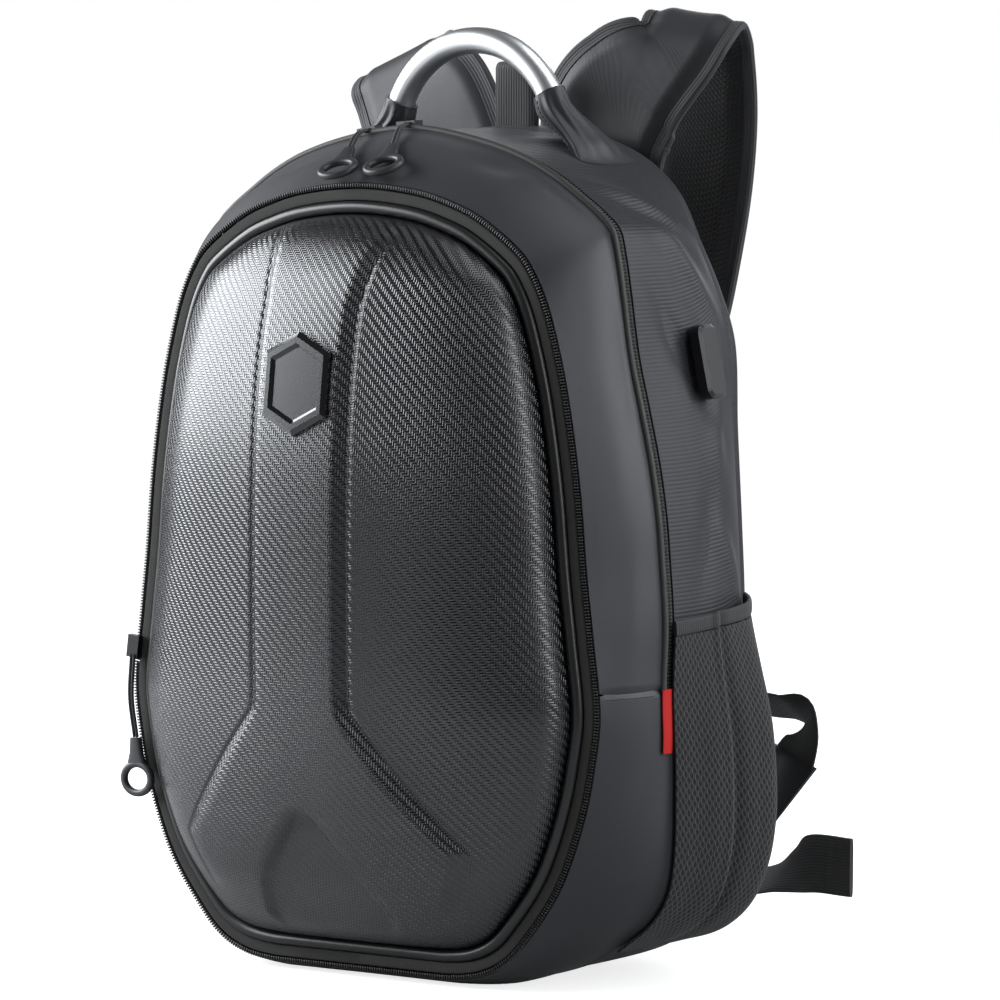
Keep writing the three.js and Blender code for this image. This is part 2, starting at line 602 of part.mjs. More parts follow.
// Pocket surface on the right-hand wall
function pocketPoint(depthShare, riseShare, lift) {
  const edge = POCKET_EDGE_GAP / REAR_DEPTH;
  const share = lerp(edge, 1 - edge, depthShare);
  const hem = lerp(POCKET_HEM_FRONT, POCKET_HEM_REAR, depthShare);
  const up = lerp(POCKET_BOTTOM, hem, riseShare);
  const { point, out } = wallPoint(share, up);
  const bulge = POCKET_BULGE * valueAt(POCKET_DEPTH_ROWS, depthShare) * valueAt(POCKET_RISE_ROWS, riseShare);
  return onPlane(point.clone().addScaledVector(out, POCKET_SEAT + bulge + lift), wallY(share));
}

function addPocket(side, suffix) {
  const depthShares = POCKET_DEPTH_ROWS.map((row) => row[0]);
  const layer = (riseShare, lift) => depthShares.map((share) => pocketPoint(share, riseShare, lift));
  const netTop = 1 - GAP / (POCKET_HEM_REAR - POCKET_BOTTOM);
  const netLoops = POCKET_RISE_ROWS.map(([riseShare]) => {
    const rise = Math.min(riseShare, netTop);
    return mirrorX([...layer(rise, NET), ...layer(rise, 0).reverse()], side);
  });
  addPiece(`pocket_net_${suffix}`, loft(netLoops, false), MATERIALS.net);
  const hemShare = HEM_HEIGHT / (POCKET_HEM_REAR - POCKET_BOTTOM);
  const proud = (HEM_THICKNESS - NET) / 2;
  const hemLoops = [1, 1 + hemShare].map((rise) => (
    mirrorX([...layer(rise, NET + proud), ...layer(rise, -Math.min(proud, GAP)).reverse()], side)
  ));
  addPiece(`pocket_hem_${suffix}`, loft(hemLoops, false), MATERIALS.webbing);
}

// Folded label sewn in at the gusset's rear seam and lying forwards on its cloth
function addLabel() {
  const seam = ZIP_Y + wallStart - GAP;
  const reach = wallPoint(0, LABEL_RISE + LABEL_HEIGHT / 2).point.x + 3 * GAP;
  const corners = [[0, 0], [1, 0.03], [1, 0.98], [0, 1]];
  const loops = [0, LABEL_THICKNESS].map((lift) => corners.map(([forward, up]) => (
    new THREE.Vector3(reach + lift, seam - forward * LABEL_WIDTH, LABEL_RISE + up * LABEL_HEIGHT)
  )));
  addPiece('label_tab', loft(loops, false), MATERIALS.label);
}

function roundedRectangle(width, height, radius) {
  const shape = new THREE.Shape();
  const [w, h] = [width / 2 - radius, height / 2 - radius];
  shape.absarc(w, h, radius, 0, Math.PI / 2);
  shape.absarc(-w, h, radius, Math.PI / 2, Math.PI);
  shape.absarc(-w, -h, radius, Math.PI, 1.5 * Math.PI);
  shape.absarc(w, -h, radius, 1.5 * Math.PI, 2 * Math.PI);
  return shape;
}

function addPort() {
  const bevel = 2;
  const shape = roundedRectangle(PORT_WIDTH - 2 * bevel, PORT_HEIGHT - 2 * bevel, 4);
  const options = {
    depth: PORT_DEPTH - bevel, curveSegments: 2, bevelSize: bevel, bevelThickness: bevel, bevelSegments: 1,
  };
  const geometry = new THREE.ExtrudeGeometry(shape, options);
  geometry.translate(0, 0, bevel);
  geometry.scale(1, 1, PORT_DEPTH / (PORT_DEPTH + bevel));
  const { point, out } = wallPoint(PORT_SHARE, PORT_RISE);
  const port = addPiece('charging_port', geometry, MATERIALS.plastic);
  const seat = point.clone().addScaledVector(out, 4 * GAP);
  port.position.copy(onPlane(seat, wallY(PORT_SHARE)));
  const spanY = wallY(PORT_SHARE + 0.1) - wallY(PORT_SHARE - 0.1);
  const wallAt = (share) => wallPoint(share, PORT_RISE).point.x;
  const turnIn = wallAt(PORT_SHARE + 0.1) - wallAt(PORT_SHARE - 0.1);
  const outward = new THREE.Vector3(out.x, -turnIn / spanY, out.y).normalize();
  const up = new THREE.Vector3(0, 0, 1).projectOnPlane(outward).normalize();
  const along = up.clone().cross(outward);
  port.setRotationFromMatrix(new THREE.Matrix4().makeBasis(along, up, outward));
}

// Plain six-sided badge with a raised border
function addBadge() {
  const corners = [[0, 1], [1, 0.62], [1, -0.62], [0, -1], [-1, -0.62], [-1, 0.62]];
  const ringAt = (share, lift) => corners.map(([across, up]) => (
    new THREE.Vector3((across * BADGE_WIDTH * share) / 2, -lift, (up * BADGE_HEIGHT * share) / 2)
  ));
  const thin = BADGE_THICKNESS * 0.45;
  const loops = [
    ringAt(1, 0), ringAt(1, thin), ringAt(0.9, BADGE_THICKNESS), ringAt(0.78, BADGE_THICKNESS),
    ringAt(0.7, thin),
  ];
  const badge = addPiece('badge', loft(loops, false), MATERIALS.badge);
  const step = BADGE_HEIGHT / 4;
  const lean = Math.atan2(domeDepth(0, BADGE_RISE - step) - domeDepth(0, BADGE_RISE + step), 2 * step);
  badge.position.set(0, RIM_Y - domeDepth(0, BADGE_RISE) - CENTRE_RAISE - 2 * GAP, BADGE_RISE);
  badge.rotation.x = -lean;
}

const HANDLE_Y = wallY(HANDLE_SHARE);
const HANDLE_CENTRE = HANDLE_TOP - HANDLE_RADIUS;
const handlePoint = (degrees) => new THREE.Vector3(
  HANDLE_OFFSET + HANDLE_RADIUS * Math.sin(degToRad(degrees)),
  HANDLE_Y,
  HANDLE_CENTRE + HANDLE_RADIUS * Math.cos(degToRad(degrees)),
);

function circleShape(diameter) {
  const shape = new THREE.Shape();
  shape.absarc(0, 0, diameter / 2, 0, 2 * Math.PI);
  return shape;
}

function tube(points, diameter, steps, sides) {
  const path = new THREE.CatmullRomCurve3(points);
  const options = { steps, extrudePath: path, bevelEnabled: false, curveSegments: sides };
  return new THREE.ExtrudeGeometry(circleShape(diameter), options);
}

function addHandle() {
  const [first, last] = [-SLEEVE_START.left - HANDLE_HIDDEN, SLEEVE_START.right + HANDLE_HIDDEN];
  const steps = 12;
  const angles = Array.from({ length: steps + 1 }, (_, step) => lerp(first, last, step / steps));
  const points = angles.map(handlePoint);
  addPiece('handle_tube', tube(points, HANDLE_TUBE, 18, 6), MATERIALS.metal);
}

// Ellipse of a sleeve at a place, its long way in depth and its short way square to the sleeve
function sleeveLoop(centre, halfDepth, halfWidth, across) {
  const sides = 12;
  return Array.from({ length: sides }, (_, i) => {
    const angle = (2 * Math.PI * i) / sides;
    const point = centre.clone().addScaledVector(across, halfWidth * Math.cos(angle));
    point.y += halfDepth * Math.sin(angle);
    return point;
  });
}

function addSleeve(side, suffix) {
  const opening = side * SLEEVE_START[suffix];
  const start = handlePoint(opening);
  const radius = HANDLE_TUBE / 2 + 2 * GAP;
  const foot = new THREE.Vector3(side * SLEEVE_FOOT, HANDLE_Y + SLEEVE_FOOT_BACK, 0);
  foot.z = roofHeight(foot.x, HANDLE_SHARE + SLEEVE_FOOT_BACK / REAR_DEPTH);
  const angle = degToRad(opening);
  const startAcross = new THREE.Vector3(Math.sin(angle), 0, Math.cos(angle));
  const footAcross = new THREE.Vector3(side, 0, 0);
  const tubeEnd = handlePoint(side * (SLEEVE_START[suffix] + HANDLE_HIDDEN + 3));
  // way down the sleeve, inside half depth and inside half width
  const rows = [
    [start, radius, radius, startAcross],
    [tubeEnd, radius * 1.08, radius, startAcross],
    [tubeEnd.clone().lerp(foot, 0.5), SLEEVE_FOOT_LENGTH * 0.3, SLEEVE_FOOT_WIDTH * 0.42, startAcross],
    [foot, SLEEVE_FOOT_LENGTH / 2 - SLEEVE_CLOTH, SLEEVE_FOOT_WIDTH / 2 - SLEEVE_CLOTH, footAcross],
  ];
  const layer = (extra) => rows.map(([centre, halfDepth, halfWidth, across], row) => {
    const points = sleeveLoop(centre, halfDepth + extra, halfWidth + extra, across);
    if (row === rows.length - 1) {
      points.forEach((point) => {
        const share = (point.y - wallY(0)) / (REAR_Y - wallY(0));
        point.z = roofHeight(point.x, share) + 2 * GAP;
      });
    }
    return points;
  });
  const loops = [...layer(SLEEVE_CLOTH), ...layer(0).reverse()];
  addPiece(`handle_sleeve_${suffix}`, loft(loops, true), MATERIALS.cloth);
}

// Flat band along a path: rows hold a place and the direction of the band's width
function band(rows, widths, thickness, edge) {
  const loops = rows.map((row, i) => {
    const before = rows[Math.max(0, i - 1)].place;
    const after = rows[Math.min(rows.length - 1, i + 1)].place;
    const along = after.clone().sub(before).normalize();
    const face = along.clone().cross(row.wide).normalize();
    const wide = face.clone().cross(along).normalize();
    const [w, t] = [widths[i] / 2, thickness / 2];
    const corners = [[w, t - edge], [w - edge, t], [edge - w, t], [-w, t - edge]];
    const rounded = [...corners, ...corners.map(([a, b]) => [-a, -b])];
    const flat = edge > 0 ? rounded : [[w, t], [-w, t], [-w, -t], [w, -t]];
    return flat.map(([a, b]) => row.place.clone().addScaledVector(wide, a).addScaledVector(face, b));
  });
  return loft(loops, false);
}

// The rows of a band with smooth steps between them
function smoothRows(rows, perRow) {
  const path = new THREE.CatmullRomCurve3(rows.map((row) => row.place), false, 'centripetal');
  const wide = new THREE.CatmullRomCurve3(rows.map((row) => row.wide), false, 'centripetal');
  const steps = (rows.length - 1) * perRow;
  return Array.from({ length: steps + 1 }, (_, i) => (
    { place: path.getPoint(i / steps), wide: wide.getPoint(i / steps).normalize(), at: i / perRow }
  ));
}

function addHangLoop() {
  const y = wallY(LOOP_SHARE);
  const foot = Math.max(roofHeight(0, LOOP_SHARE), roofHeight(0, LOOP_SHARE + LOOP_BEND / REAR_DEPTH)) + GAP;
  const top = foot + LOOP_HEIGHT - LOOP_BEND;
  const wide = new THREE.Vector3(1, 0, 0);
  const rows = [{ place: new THREE.Vector3(0, y - LOOP_BEND, foot), wide }];
  for (let step = 0; step <= 6; step++) {
    const angle = (Math.PI * step) / 6;
    const place = new THREE.Vector3(0, y - LOOP_BEND * Math.cos(angle), top + LOOP_BEND * Math.sin(angle));
    rows.push({ place, wide });
  }
  rows.push({ place: new THREE.Vector3(0, y + LOOP_BEND, foot), wide });
  addPiece('hang_loop', band(rows, rows.map(() => LOOP_WIDTH), LOOP_THICKNESS, 0), MATERIALS.webbing);
}

const STRAP_SEAT = PANEL_Y + 3 * GAP + STRAP_THICKNESS / 2;
const STRAP_END_ROW = STRAP_ROWS.right[STRAP_ROWS.right.length - 1];
const STRAP_END = STRAP_END_ROW.up * STRAP_TOP;
const BUCKLE_RISE = STRAP_END - 6 * GAP - BUCKLE_HEIGHT / 2;

function addStrap(side, suffix) {
  const table = STRAP_ROWS[suffix];
  const rows = table.map((row) => {
    const tilt = degToRad(row.tilt);
    return {
      place: new THREE.Vector3(
        side * row.across * ZIP_HALF_WIDTH,
        STRAP_SEAT + row.behind * STRAP_REACH,
        row.up * STRAP_TOP,
      ),
      wide: new THREE.Vector3(side * Math.cos(tilt), 0, -Math.sin(tilt)),
    };
  });
  const smooth = smoothRows(rows, 2);
  const widthRows = table.map((row, i) => [i, row.width * STRAP_WIDTH]);
  const widths = smooth.map((row) => valueAt(widthRows, row.at));
  const pad = band(smooth, widths, STRAP_THICKNESS, STRAP_THICKNESS * 0.3);
  addPiece(`strap_pad_${suffix}`, pad, MATERIALS.pad);

  const across = side * STRAP_END_ROW.across * ZIP_HALF_WIDTH;
  const plate = roundedRectangle(BUCKLE_WIDTH, BUCKLE_HEIGHT, BUCKLE_CORNER);
  for (const level of [-1, 1]) {
    const slot = new THREE.Path();
    const [w, z] = [BUCKLE_WIDTH / 2 - BUCKLE_FRAME, (level * BUCKLE_HEIGHT) / 5];
    slot.moveTo(-w, z - BUCKLE_SLOT / 2);
    slot.lineTo(-w, z + BUCKLE_SLOT / 2);
    slot.lineTo(w, z + BUCKLE_SLOT / 2);
    slot.lineTo(w, z - BUCKLE_SLOT / 2);
    slot.closePath();
    plate.holes.push(slot);
  }
  const options = { depth: BUCKLE_THICKNESS, curveSegments: 3, bevelEnabled: false };
  const plateShape = new THREE.ExtrudeGeometry(plate, options);
  const buckle = addPiece(`strap_buckle_${suffix}`, plateShape, MATERIALS.plastic);
  buckle.position.set(across, PANEL_Y + 2 * GAP + BUCKLE_THICKNESS + WEBBING_THICKNESS, BUCKLE_RISE);
  buckle.rotation.x = Math.PI / 2;
}

const BUCKLE_BACK = PANEL_Y + 3 * GAP + BUCKLE_THICKNESS + WEBBING_THICKNESS;

// Webbing rows in place on one side
function webbingRows(table, side) {
  return table.map((row) => ({
    place: new THREE.Vector3(
      side * row.across * ZIP_HALF_WIDTH,
      BUCKLE_BACK + WEBBING_THICKNESS / 2 + row.behind * STRAP_REACH,
      row.up * BUCKLE_RISE,
    ),
    wide: new THREE.Vector3(side * row.wide[0], row.wide[1], row.wide[2]),
  }));
}

function addWebbing(side, suffix) {
  const loopRows = smoothRows(webbingRows(LOOP_ROWS, side), 3);
  const loopWidths = loopRows.map(() => WEBBING_WIDTH);
  addPiece(`strap_webbing_${suffix}`, band(loopRows, loopWidths, WEBBING_THICKNESS, 0), MATERIALS.webbing);
  const tailRows = smoothRows(webbingRows(TAIL_ROWS, side), 3);
  const tailWidths = tailRows.map(() => WEBBING_WIDTH);
  addPiece(`webbing_tail_${suffix}`, band(tailRows, tailWidths, WEBBING_THICKNESS, 0), MATERIALS.webbing);

  // Wing that carries the lower end of the webbing, sewn in at the rear seam of the side wall
  const end = loopRows[loopRows.length - 1];
  const down = end.place.clone().sub(loopRows[loopRows.length - 2].place).normalize();
  const edge = end.place.clone().addScaledVector(down, WING_THICKNESS / 2 + 4 * GAP);
  const outer = edge.clone().addScaledVector(end.wide, WEBBING_WIDTH / 2);
  const near = edge.clone().addScaledVector(end.wide, -WEBBING_WIDTH / 2);
  const seamAt = (up) => {
    const { point, out } = wallPoint(1, up);
    const seam = onPlane(point.clone().addScaledVector(out, WING_SEAT), REAR_Y + PANEL_THICKNESS / 4);
    return seam.setX(side * seam.x);
  };
  const corners = [outer, near, seamAt(near.z), seamAt(WING_RISE)];
  const [width, high, low] = corners.slice(1).map((p) => p.clone().sub(outer));
  const face = width.clone().cross(high).add(high.clone().cross(low)).normalize();
  const faceAt = (offset) => corners.map((p) => p.clone().addScaledVector(face, offset));
  const loops = [WING_THICKNESS / 2, -WING_THICKNESS / 2].map(faceAt);
  addPiece(`wing_tab_${suffix}`, loft(loops, false), MATERIALS.pad);
}

// Moulded pull: a tapered neck that widens into an oval ring, hanging down from its origin
function pullGeometry() {
  const shape = new THREE.Shape();
  const centre = -RING_NECK - RING_HEIGHT / 2;
  const [a, b] = [RING_WIDTH / 2, RING_HEIGHT / 2];
  const neck = RING_WIDTH * 0.19;
  shape.moveTo(neck, 0);
  shape.lineTo(-neck, 0);
  shape.absellipse(0, centre, a, b, degToRad(125), degToRad(415), false);
  shape.closePath();
  const hole = new THREE.Path();
  hole.absellipse(0, centre, a - RING_BAND, b - RING_BAND, 0, 2 * Math.PI, true);
  shape.holes.push(hole);
  const options = { depth: RING_THICKNESS, curveSegments: 8, bevelEnabled: false };
  return new THREE.ExtrudeGeometry(shape, options);
}

// Slider, cord and pull: the slider sits on the teeth, the cord lies on the cloth beside them
function addPull(suffix, seat, teeth, up, fall, lift, cordLength, swing) {
  const across = fall.clone().cross(up).normalize();
  const slider = addPiece(
    `zip_slider_${suffix}`,
    new THREE.BoxGeometry(SLIDER_WIDTH, SLIDER_HEIGHT, SLIDER_LENGTH),
    MATERIALS.plastic,
  );
  const sideways = teeth.out.clone().cross(teeth.along);
  slider.setRotationFromMatrix(new THREE.Matrix4().makeBasis(sideways, teeth.out, teeth.along));
  slider.position.copy(seat).addScaledVector(teeth.out, SLIDER_HEIGHT / 2 + GAP);
  const hang = fall.clone().addScaledVector(across, swing).normalize();
  const widthPart = Math.abs(hang.dot(sideways)) * SLIDER_WIDTH;
  const reach = (widthPart + Math.abs(hang.dot(teeth.along)) * SLIDER_LENGTH) / 2;
  const start = seat.clone()
    .addScaledVector(teeth.out, GAP + SLIDER_HEIGHT)
    .addScaledVector(hang, reach + 2 * GAP);
  const end = seat.clone().addScaledVector(hang, reach + cordLength).addScaledVector(up, lift);
  const middle = start.clone().lerp(end, 0.5).addScaledVector(up, CORD_DIAMETER * 1.1);
  addPiece(`pull_cord_${suffix}`, tube([start, middle, end], CORD_DIAMETER, 4, 4), MATERIALS.webbing);
  const pull = addPiece(`pull_ring_${suffix}`, pullGeometry(), MATERIALS.rubber);
  const side = hang.clone().cross(up).normalize();
  const top = end.clone().addScaledVector(hang, 2 * GAP).addScaledVector(up, -RING_THICKNESS / 2);
  const turned = new THREE.Matrix4().makeBasis(side.clone().negate(), hang.clone().negate(), up);
  pull.setRotationFromMatrix(turned);
  pull.position.copy(top);
}

function addPulls() {
  const slope = Math.atan2(ZIP_HEIGHT - RIM_HEIGHT - RIM_LIFT, GUSSET_DEPTH);
  const up = new THREE.Vector3(0, -Math.sin(slope), Math.cos(slope));
  const fall = new THREE.Vector3(0, -Math.cos(slope), -Math.sin(slope));
  const crest = grow(zipOutline, TEETH_RISE).slice(TOP_STEP);
  const crestAt = (across) => {
    const next = crest.findIndex((p) => p.x <= across);
    return [crest[next - 1], crest[next]];
  };
  const level = crest[0].y;
  for (const [suffix, across, cordLength, swing] of MAIN_PULLS) {
    const [right, left] = crestAt(across);
    const along = onPlane(left, 0).sub(onPlane(right, 0)).normalize();
    const place = right.clone().lerp(left, (across - right.x) / (left.x - right.x));
    const teeth = { along, out: new THREE.Vector3(along.z, 0, -along.x) };
    const lift = level - place.y + GUSSET_BULGE + 3 * GAP;
    addPull(suffix, onPlane(place, ZIP_Y), teeth, up, fall, lift, cordLength, swing);
  }
  const low = rimOutline.slice(TOP_STEP).findIndex((p) => p.y <= SHELL_PULL_RISE) + TOP_STEP;
  const [higher, lower] = [rimOutline[low - 1], rimOutline[low]];
  const along = onPlane(lower, 0).sub(onPlane(higher, 0)).normalize();
  const teeth = { along, out: new THREE.Vector3(0, -1, 0) };
  const middle = higher.clone().lerp(lower, 0.5);
  const seat = new THREE.Vector3(middle.x + TEETH_WIDTH / 2, RIM_Y - TEETH_RISE, middle.y);
  const clear = PIPING_RADIUS - TEETH_RISE + RING_THICKNESS / 2 + GAP;
  addPull('shell', seat, teeth, teeth.out, new THREE.Vector3(0, 0, -1), clear, SHELL_CORD, SHELL_SWING);
}

addShell();
addRim();
addBody();
addMainZip();
addBackPanel();
addBadge();
addPort();
addLabel();
addHandle();
addHangLoop();
for (const [side, suffix] of [[1, 'right'], [-1, 'left']]) {
  addPocket(side, suffix);
  addSleeve(side, suffix);
  addStrap(side, suffix);
  addWebbing(side, suffix);
}
addPulls();

export default bag;
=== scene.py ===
"""Looks of the hard shell backpack: dense cloth and shell surfaces, finishes, studio and camera.

Every soft or curved piece is a parametric surface worked out by numpy from the same named sizes as
the solids, in millimetres in the row frame, and written to a mesh in metres.
"""

import logging
import math
from dataclasses import dataclass
from enum import Enum

import bpy
import numpy as np
from mathutils import Matrix, Vector


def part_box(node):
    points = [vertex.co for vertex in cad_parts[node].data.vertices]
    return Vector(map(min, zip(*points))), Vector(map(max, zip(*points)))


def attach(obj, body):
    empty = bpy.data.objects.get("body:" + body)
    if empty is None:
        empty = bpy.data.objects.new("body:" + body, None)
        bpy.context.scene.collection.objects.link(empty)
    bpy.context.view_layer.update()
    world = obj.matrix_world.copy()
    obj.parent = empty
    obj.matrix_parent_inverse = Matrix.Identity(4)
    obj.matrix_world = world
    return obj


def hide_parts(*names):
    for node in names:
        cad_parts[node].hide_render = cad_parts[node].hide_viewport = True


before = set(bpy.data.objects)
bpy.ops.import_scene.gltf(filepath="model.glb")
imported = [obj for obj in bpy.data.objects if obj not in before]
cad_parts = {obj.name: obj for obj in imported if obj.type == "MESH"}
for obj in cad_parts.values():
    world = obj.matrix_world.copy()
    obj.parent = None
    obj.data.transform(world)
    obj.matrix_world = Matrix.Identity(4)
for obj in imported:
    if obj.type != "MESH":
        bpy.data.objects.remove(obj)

Array = np.ndarray
Size = float | Array
Triple = tuple[float, float, float]
log = logging.getLogger("backpack")

MM = 0.001

# Body: main zip, rear seam, the shell's rim, and the cloth between them
ZIP_HALF_WIDTH = 175.0
ZIP_HEIGHT = 478.0
ZIP_Y = -30.0
REAR_Y = 75.0
REAR_HALF_WIDTH = 151.0
REAR_HEIGHT = 468.0
REAR_LIFT = 12.0
WALL_ROUNDING = 3.5
BASE_FLAT = 0.65
BASE_ROUNDING = 2.0
ROOF_ROUNDING = 1.2
RIM_Y = -85.0
RIM_HALF_WIDTH = 165.8
RIM_HEIGHT = 445.5
RIM_LIFT = 3.5
GUSSET_BULGE = 4.0
SEAM_HEIGHT = 170.0
MAIN_TAPE_WIDTH = 9.0
GAP = 0.3
CLOTH = 1.8

# Shell
TEETH_WIDTH = 3.4
TAPE_WIDTH = 6.4
PIPING_RADIUS = 3.5
TEETH_RISE = 1.1
SHELL_DEPTH = 56.0
CENTRE_HALF_WIDTH = 30.0
CENTRE_RAISE = 4.4
BEVEL_WIDTH = 9.0
VEE_SINK = 4.2
VEE_BEVEL = 5.0
GROOVE_DEPTH = 0.7
GROOVE_WIDTH = 2.5
SHELL_WALL = 2.0

# Steps of an outline: base to cross seam, and cross seam to top
LOWER_STEPS = 12
UPPER_STEPS = 20
TOP_STEP = LOWER_STEPS + UPPER_STEPS
ALL_STEPS = 2 * TOP_STEP
OUTLINE_SAMPLES = 24

# Back, handle and straps
PANEL_THICKNESS = 12.0
PANEL_Y = REAR_Y + GAP + PANEL_THICKNESS
HANDLE_RADIUS = 59.0
HANDLE_TUBE = 15.5
HANDLE_TOP = 529.0
HANDLE_SHARE = 0.48
HANDLE_OFFSET = 2.0
STRAP_WIDTH = 80.0
STRAP_THICKNESS = 12.0
STRAP_TOP = 545.0
STRAP_REACH = 57.0
WEBBING_WIDTH = 34.0
WEBBING_THICKNESS = 1.8
BUCKLE_RISE = 0.525 * STRAP_TOP - 6 * GAP - 13.0
BUCKLE_BACK = PANEL_Y + 3 * GAP + 5.0 + WEBBING_THICKNESS

# Outline rows from the middle of the base to the middle of the top: share of height, share of half
# width
RIM_ROWS = np.array([
    (0, 0), (0, 0.36), (0.008, 0.51), (0.028, 0.621), (0.066, 0.721), (0.129, 0.842),
    (0.217, 0.937), (0.284, 0.979), (0.345, 1), (0.441, 0.972), (0.522, 0.945), (0.623, 0.919),
    (0.71, 0.884), (0.775, 0.848), (0.852, 0.786), (0.89, 0.735), (0.915, 0.683), (0.96, 0.508),
    (0.978, 0.388), (0.991, 0.257), (1, 0),
])
ZIP_ROWS = np.array([
    (0, 0), (0, 0.32), (0.003, 0.46), (0.015, 0.6), (0.032, 0.726), (0.053, 0.81),
    (0.083, 0.915), (0.115, 0.972), (0.155, 0.994), (0.249, 1), (0.355, 0.99), (0.43, 0.997),
    (0.504, 0.983), (0.552, 0.971), (0.615, 0.943), (0.678, 0.903), (0.738, 0.863),
    (0.818, 0.829), (0.856, 0.811), (0.885, 0.789), (0.902, 0.743), (0.923, 0.663),
    (0.946, 0.566), (0.967, 0.446), (0.987, 0.257), (1, 0),
])
REAR_ROWS = np.array([
    (0, 0), (0, 0.45), (0.0125, 0.72), (0.048, 0.86), (0.1, 0.955), (0.183, 0.987), (0.29, 1),
    (0.425, 0.997), (0.521, 0.983), (0.63, 0.964), (0.741, 0.948), (0.801, 0.883),
    (0.861, 0.792), (0.917, 0.701), (0.957, 0.565), (0.983, 0.39), (0.996, 0.195), (1, 0),
])
# Creases and sunk wedge of the shell: share of the rim's height, half distance between the two
# lines in half widths of the centre
CREASE_ROWS = np.array([
    (0, 5.3), (0.13, 3.73), (0.24, 2.28), (0.34, 1.05), (0.36, 1), (0.85, 1), (0.9, 1.1),
    (0.97, 1.4), (1, 1.55),
])
VEE_ROWS = np.array([(0.0, 2.0), (0.04, 1.7), (0.12, 1.25), (0.215, 0.12), (1, 0.1)])
# Side pocket: share of the way back, then of the way up, and share of the fullness
POCKET_DEPTH_ROWS = np.array([
    (0, 0), (0.1, 0.2), (0.27, 0.52), (0.31, 0.5), (0.48, 0.78), (0.66, 1), (0.8, 0.68),
    (0.92, 0.3), (1, 0),
])
POCKET_RISE_ROWS = np.array([
    (0, 0.02), (0.06, 0.3), (0.13, 0.56), (0.24, 0.84), (0.38, 1), (0.56, 0.98), (0.7, 0.88),
    (0.85, 0.62), (1, 0.25),
])

# Strap rows: across as a share of the half width, behind as a share of the reach, up as a share of
# the crest, width share, sideways tilt in degrees
STRAP_ROWS = {
    "right": np.array([
        (0.22, 0, 0.8, 0.95, 33), (0.25, 0, 0.885, 1.15, 36), (0.337, 0.05, 0.922, 1.06, 31),
        (0.465, 0.15, 0.955, 0.8, 19), (0.5, 0.28, 0.977, 0.8, 9), (0.49, 0.5, 0.99, 0.8, 7),
        (0.46, 0.76, 0.976, 0.82, 4), (0.435, 0.93, 0.94, 0.85, 2), (0.42, 1, 0.89, 0.88, 0),
        (0.41, 0.97, 0.82, 0.88, 0), (0.4, 0.83, 0.74, 0.86, 0), (0.39, 0.6, 0.66, 0.84, 0),
        (0.385, 0.22, 0.59, 0.78, 0), (0.385, 0, 0.525, 0.7, 0),
    ]),
    "left": np.array([
        (0.343, 0, 0.807, 1.15, 33), (0.506, 0.05, 0.89, 1.25, 22), (0.6, 0.12, 0.92, 1.05, 22),
        (0.662, 0.25, 0.944, 0.97, 22), (0.685, 0.5, 0.947, 0.95, 20), (0.685, 0.76, 0.928, 0.9, 16),
        (0.657, 0.93, 0.891, 0.88, 10), (0.601, 1, 0.831, 0.88, 4), (0.541, 0.97, 0.771, 0.88, 0),
        (0.48, 0.83, 0.706, 0.86, 0), (0.434, 0.6, 0.643, 0.84, 0), (0.4, 0.22, 0.594, 0.78, 0),
        (0.385, 0, 0.525, 0.7, 0),
    ]),
}
# Webbing rows: across, behind, up, then the direction of the band's width
LOOP_ROWS = np.array([
    (0.385, 0, 1.01, 1, 0, 0), (0.39, 0.01, 0.93, 1, 0, 0.1), (0.45, 0.1, 0.83, 0.85, 0, 0.5),
    (0.57, 0.26, 0.68, 0.6, -0.4, 0.64), (0.74, 0.4, 0.55, 0.15, -0.8, 0.55),
    (0.87, 0.46, 0.535, 0.1, -0.85, 0.5), (0.95, 0.42, 0.52, 0.5, -0.6, 0.5),
    (0.96, 0.33, 0.48, 0.85, -0.35, 0.3), (0.925, 0.27, 0.42, 0.95, -0.2, -0.3),
])
TAIL_ROWS = np.array([
    (0.37, 0.038, 1.01, 1, 0, 0), (0.37, 0.42, 0.82, 1, 0, 0), (0.4, 0.66, 0.54, 0.95, 0.25, 0.1),
    (0.46, 0.76, 0.28, 0.6, 0.75, 0.3), (0.58, 0.76, 0.15, 0.1, 0.9, 0.4),
    (0.72, 0.72, 0.155, 0, 0.9, 0.42), (0.82, 0.68, 0.18, 0, 0.7, 0.7),
    (0.92, 0.64, 0.2, 0, 0.2, 1), (1.09, 0.6, 0.2, 0, 0, 1),
])


# Curves and outlines


def hermite(rows: Array, x: Array) -> Array:
    """Smooth value of a two-column table: cubic Hermite with slopes from the neighbouring rows.

    Args:
        rows: table of (place, value), rising in place.
        x: places to look up.
    Returns:
        Values at x, held at the ends.
    """
    xs, ys = rows[:, 0], rows[:, 1]
    slopes = np.gradient(ys, xs)
    x = np.clip(x, xs[0], xs[-1])
    i = np.clip(np.searchsorted(xs, x) - 1, 0, len(xs) - 2)
    h = xs[i + 1] - xs[i]
    s = (x - xs[i]) / h
    a, b = (1 + 2 * s) * (1 - s) ** 2, s * s * (3 - 2 * s)
    c, d = s * (1 - s) ** 2, s * s * (s - 1)
    return a * ys[i] + b * ys[i + 1] + h * (c * slopes[i] + d * slopes[i + 1])


